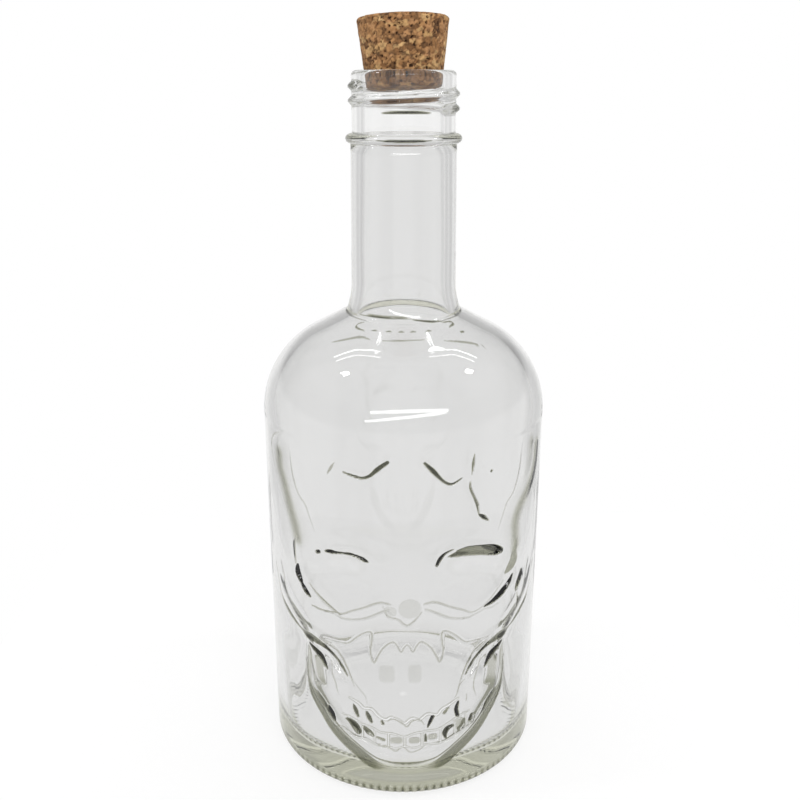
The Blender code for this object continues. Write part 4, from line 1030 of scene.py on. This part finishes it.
def cork_stopper(material):
    """One closed skin with the shade and the darkness of its grains kept at each point."""
    # Without a seed, noise_vector follows the clock and the grains change from run to run
    noise.seed_set(GRAIN_SEED)
    profile = np.array(cork_profile())
    columns = math.ceil(2 * math.pi * profile[:, 0].max() / CORK_CELL)
    along = np.gradient(profile, axis=0)
    outward = np.stack([-along[:, 1], along[:, 0]], axis=1)
    outward /= np.linalg.norm(outward, axis=1)[:, None]
    points, shades, darks = [], [], []
    for (radius, height), (out, up) in zip(profile, outward):
        for angle in np.arange(columns) * (2 * math.pi / columns):
            ring = Vector((math.cos(angle), math.sin(angle), 0.0))
            point = ring * radius + Vector((0.0, 0.0, height))
            depth, shade, dark = cork_grain(point)
            depth *= min(1.0, radius / (2 * CORK_GRAIN))
            points.append(point - (ring * out + Vector((0.0, 0.0, up))) * depth)
            shades.append(shade)
            darks.append(dark)
    last = len(profile) * columns
    points += [Vector((0.0, 0.0, CORK_LENGTH - CORK_INSERTION)), Vector((0.0, 0.0, -CORK_INSERTION))]
    faces = grid_faces(len(profile), columns, 0)[:, ::-1].tolist()
    faces += fan_faces(0, columns, last).tolist()
    faces += fan_faces(last - columns, columns, last + 1)[:, ::-1].tolist()
    cork = add_piece("grained_cork", points, faces, material,
                     {"grain_shade": shades + [0.5, 0.5], "grain_dark": darks + [0.0, 0.0]})
    lean = Euler((-CORK_LEAN_BACK, -CORK_LEAN_LEFT, 0.0)).to_matrix().to_4x4()
    cork.data.transform(Matrix.Translation((0.0, 0.0, LIP_HEIGHT)) @ lean)
    return cork


# Materials

def new_material(name):
    material = bpy.data.materials.new(name)
    material.use_nodes = True
    return material, material.node_tree, material.node_tree.nodes["Principled BSDF"]


def link(tree, value, socket):
    """Sets a socket to a plain number or colour, or links it to another socket."""
    if isinstance(value, (int, float, tuple)):
        socket.default_value = value
    else:
        tree.links.new(value, socket)


def add_node(tree, kind, **values):
    """A new node with some of its inputs set."""
    node = tree.nodes.new("ShaderNode" + kind)
    for name, value in values.items():
        link(tree, value, node.inputs[name])
    return node


def calculate(tree, operation, *values):
    node = add_node(tree, "Math")
    node.operation = operation
    for value, socket in zip(values, node.inputs):
        link(tree, value, socket)
    return node.outputs[0]


def colour_ramp(tree, value, stops):
    """A colour that follows stops, each a position with a brightness or with red, green and blue."""
    node = add_node(tree, "ValToRGB", Fac=value)
    elements = node.color_ramp.elements
    elements.remove(elements[1])
    for i, (position, *colour) in enumerate(stops):
        element = elements.new(position) if i else elements[0]
        element.position = position
        element.color = (colour * 3)[:3] + [1.0]
    return node.outputs[0]


def blend(tree, share, colour_a, colour_b, blend_type="MIX"):
    """Two colours mixed by a share."""
    node = add_node(tree, "Mix")
    node.data_type = "RGBA"
    node.blend_type = blend_type
    for value, place in ((share, 0), (colour_a, 6), (colour_b, 7)):
        link(tree, value, node.inputs[place])
    return node.outputs[2]


def kept_value(tree, name):
    """A value kept at each point of the mesh."""
    node = add_node(tree, "Attribute")
    node.attribute_name = name
    return node.outputs["Fac"]


def glass_material():
    """Soda-lime glass, faintly olive where it is thick, with painted shade and painted highlights in its
    base colour.
    """
    material, tree, shader = new_material("clear_glass")
    # Base colour: the painted shade and highlight kept at each point, times the olive tint of the foot
    clear = colour_ramp(tree, kept_value(tree, "painted_light"), PAINTED_SHADE_STOPS)
    olive = blend(tree, kept_value(tree, "foot"), WHITE, FOOT_TINT)
    tree.links.new(blend(tree, 1.0, clear, olive, "MULTIPLY"), shader.inputs["Base Color"])
    shader.inputs["Roughness"].default_value = 0.0
    shader.inputs["IOR"].default_value = GLASS_IOR
    shader.inputs["Transmission Weight"].default_value = 1.0
    absorption = add_node(tree, "VolumeAbsorption", Color=GLASS_COLOUR, Density=GLASS_DENSITY)
    tree.links.new(absorption.outputs["Volume"], tree.nodes["Material Output"].inputs["Volume"])
    return material


def cork_material():
    """Agglomerated cork, by the shade and the darkness kept at each point; the dark crevices and pits are
    partly painted shade.
    """
    material, tree, shader = new_material("agglomerated_cork")
    grains = colour_ramp(tree, kept_value(tree, "grain_shade"), GRAIN_STOPS)
    place = add_node(tree, "TexCoord").outputs["Object"]
    fine_noise = add_node(tree, "TexNoise", Vector=place, Scale=MOTTLE_SCALE, Detail=MOTTLE_DETAIL)
    mottle = colour_ramp(tree, fine_noise.outputs["Fac"], MOTTLE_STOPS)
    mottled = blend(tree, 1.0, grains, mottle, "MULTIPLY")
    # Crevices and pits are coloured near black: partly the cork's own darker colour, partly painted shade
    colour = blend(tree, kept_value(tree, "grain_dark"), mottled, CREVICE_COLOUR)
    tree.links.new(colour, shader.inputs["Base Color"])
    shader.inputs["Roughness"].default_value = CORK_ROUGHNESS
    shader.inputs["Specular IOR Level"].default_value = CORK_SPECULAR
    return material


# The scene around the bottle

def white_surroundings():
    """A white studio. What the glass mirrors and bends is dimmed by the flags and the ceiling."""
    world = bpy.data.worlds.new("studio")
    bpy.context.scene.world = world
    world.use_nodes = True
    tree = world.node_tree
    direction = add_node(tree, "TexCoord").outputs["Generated"]
    east, north, up = add_node(tree, "SeparateXYZ", Vector=direction).outputs
    quarter = math.pi / 2
    azimuth = calculate(tree, "ARCTAN2", east, north)
    turned = calculate(tree, "FLOORED_MODULO", calculate(tree, "ADD", azimuth, quarter / 2), quarter)
    flags = colour_ramp(tree, calculate(tree, "DIVIDE", turned, quarter), FLAG_STOPS)
    ceiling = colour_ramp(tree, calculate(tree, "MULTIPLY_ADD", up, 0.5, 0.5), CEILING_STOPS)
    in_glass = calculate(tree, "MULTIPLY", flags, ceiling)
    ray = add_node(tree, "LightPath").outputs
    bent = calculate(tree, "MAXIMUM", ray["Is Glossy Ray"], ray["Is Transmission Ray"])
    seen = calculate(tree, "MAXIMUM", calculate(tree, "MULTIPLY", bent, in_glass), ray["Is Camera Ray"])
    plain = calculate(tree, "MULTIPLY", ray["Is Diffuse Ray"], PLAIN_LIGHT)
    background = tree.nodes["Background"]
    background.inputs["Color"].default_value = WHITE
    tree.links.new(calculate(tree, "MAXIMUM", seen, plain), background.inputs["Strength"])


def floor():
    """A pale floor that glows evenly and takes the bottle's shadow, and looks plain through glass."""
    mesh = bpy.data.meshes.new("floor")
    corners = [(-1, -1), (1, -1), (1, 1), (-1, 1)]
    mesh.from_pydata([(x * FLOOR_HALF, y * FLOOR_HALF, 0.0) for x, y in corners], [], [(0, 1, 2, 3)])
    plane = add_object("floor", mesh)
    plane.location.z = -FLOOR_BELOW
    material, tree, shader = new_material("white_floor")
    tree.nodes.remove(shader)
    diffuse = add_node(tree, "BsdfDiffuse", Color=FLOOR_COLOUR)
    glow = add_node(tree, "Emission", Strength=FLOOR_GLOW)
    both = add_node(tree, "AddShader")
    through_glass = add_node(tree, "Emission", Strength=FLOOR_THROUGH_GLASS)
    either = add_node(tree, "MixShader", Fac=add_node(tree, "LightPath").outputs["Is Transmission Ray"])
    for made, socket in ((diffuse, both.inputs[0]), (glow, both.inputs[1]), (both, either.inputs[1]),
                         (through_glass, either.inputs[2]),
                         (either, tree.nodes["Material Output"].inputs["Surface"])):
        tree.links.new(made.outputs[0], socket)
    mesh.materials.append(material)


def softbox(name, place, size, power, roll=0.0):
    """An area lamp that looks at the middle of the body, turned about its own line of sight."""
    light = bpy.data.lights.new(name, "AREA")
    light.shape = "RECTANGLE"
    light.size, light.size_y = size
    light.energy = power
    lamp = add_object(name, light)
    lamp.location = place
    # A lamp in front of the bottle is mirrored in the glass and not seen through it
    lamp.visible_transmission = place[1] > 0.0
    aim = Vector((0.0, 0.0, BODY_STRAIGHT_HEIGHT)) - Vector(place)
    lamp.rotation_euler = (aim.to_track_quat("-Z", "Y") @ Euler((0.0, 0.0, roll)).to_quaternion()).to_euler()
    return lamp


def strip(name, start, end):
    """A narrow lamp between two points, turned towards the middle of the body."""
    start, end = Vector(start), Vector(end)
    along = (end - start).normalized()
    away = (start + end) / 2 - Vector((0.0, 0.0, BODY_STRAIGHT_HEIGHT))
    away = (away - along * away.dot(along)).normalized()
    length = (end - start).length
    lamp = softbox(name, (start + end) / 2, (length, STRIP_WIDTH), STRIP_POWER * length * STRIP_WIDTH)
    lamp.rotation_euler = Matrix((along, away.cross(along), away)).transposed().to_euler()


def camera():
    data = bpy.data.cameras.new("camera")
    data.lens = CAMERA_LENS
    data.sensor_width = CAMERA_SENSOR
    view = add_object("camera", data)
    view.rotation_euler = (math.pi / 2 - CAMERA_TILT_DOWN, 0.0, CAMERA_TURN)
    right = Vector((math.cos(CAMERA_TURN), math.sin(CAMERA_TURN), 0.0))
    ahead = Vector((-math.sin(CAMERA_TURN), math.cos(CAMERA_TURN), 0.0))
    view.location = right * CAMERA_SIDEWAYS - ahead * CAMERA_DISTANCE
    view.location.z = CAMERA_HEIGHT
    bpy.context.scene.camera = view


bottle = glass_bottle(glass_material())
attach(bottle, "bottle")
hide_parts("glass_bottle")
cork = cork_stopper(cork_material())
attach(cork, "cork")
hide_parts("cork_stopper")

white_surroundings()
floor()
for lamp_name, values in SOFTBOXES.items():
    softbox(lamp_name, *values)
for lamp_name, ends in STRIPS.items():
    strip(lamp_name, *ends)
camera()
bpy.context.scene.view_settings.view_transform = "Standard"
bpy.context.scene.cycles.max_bounces = LIGHT_BOUNCES
bpy.context.scene.cycles.glossy_bounces = LIGHT_BOUNCES
bpy.context.scene.cycles.transmission_bounces = LIGHT_BOUNCES
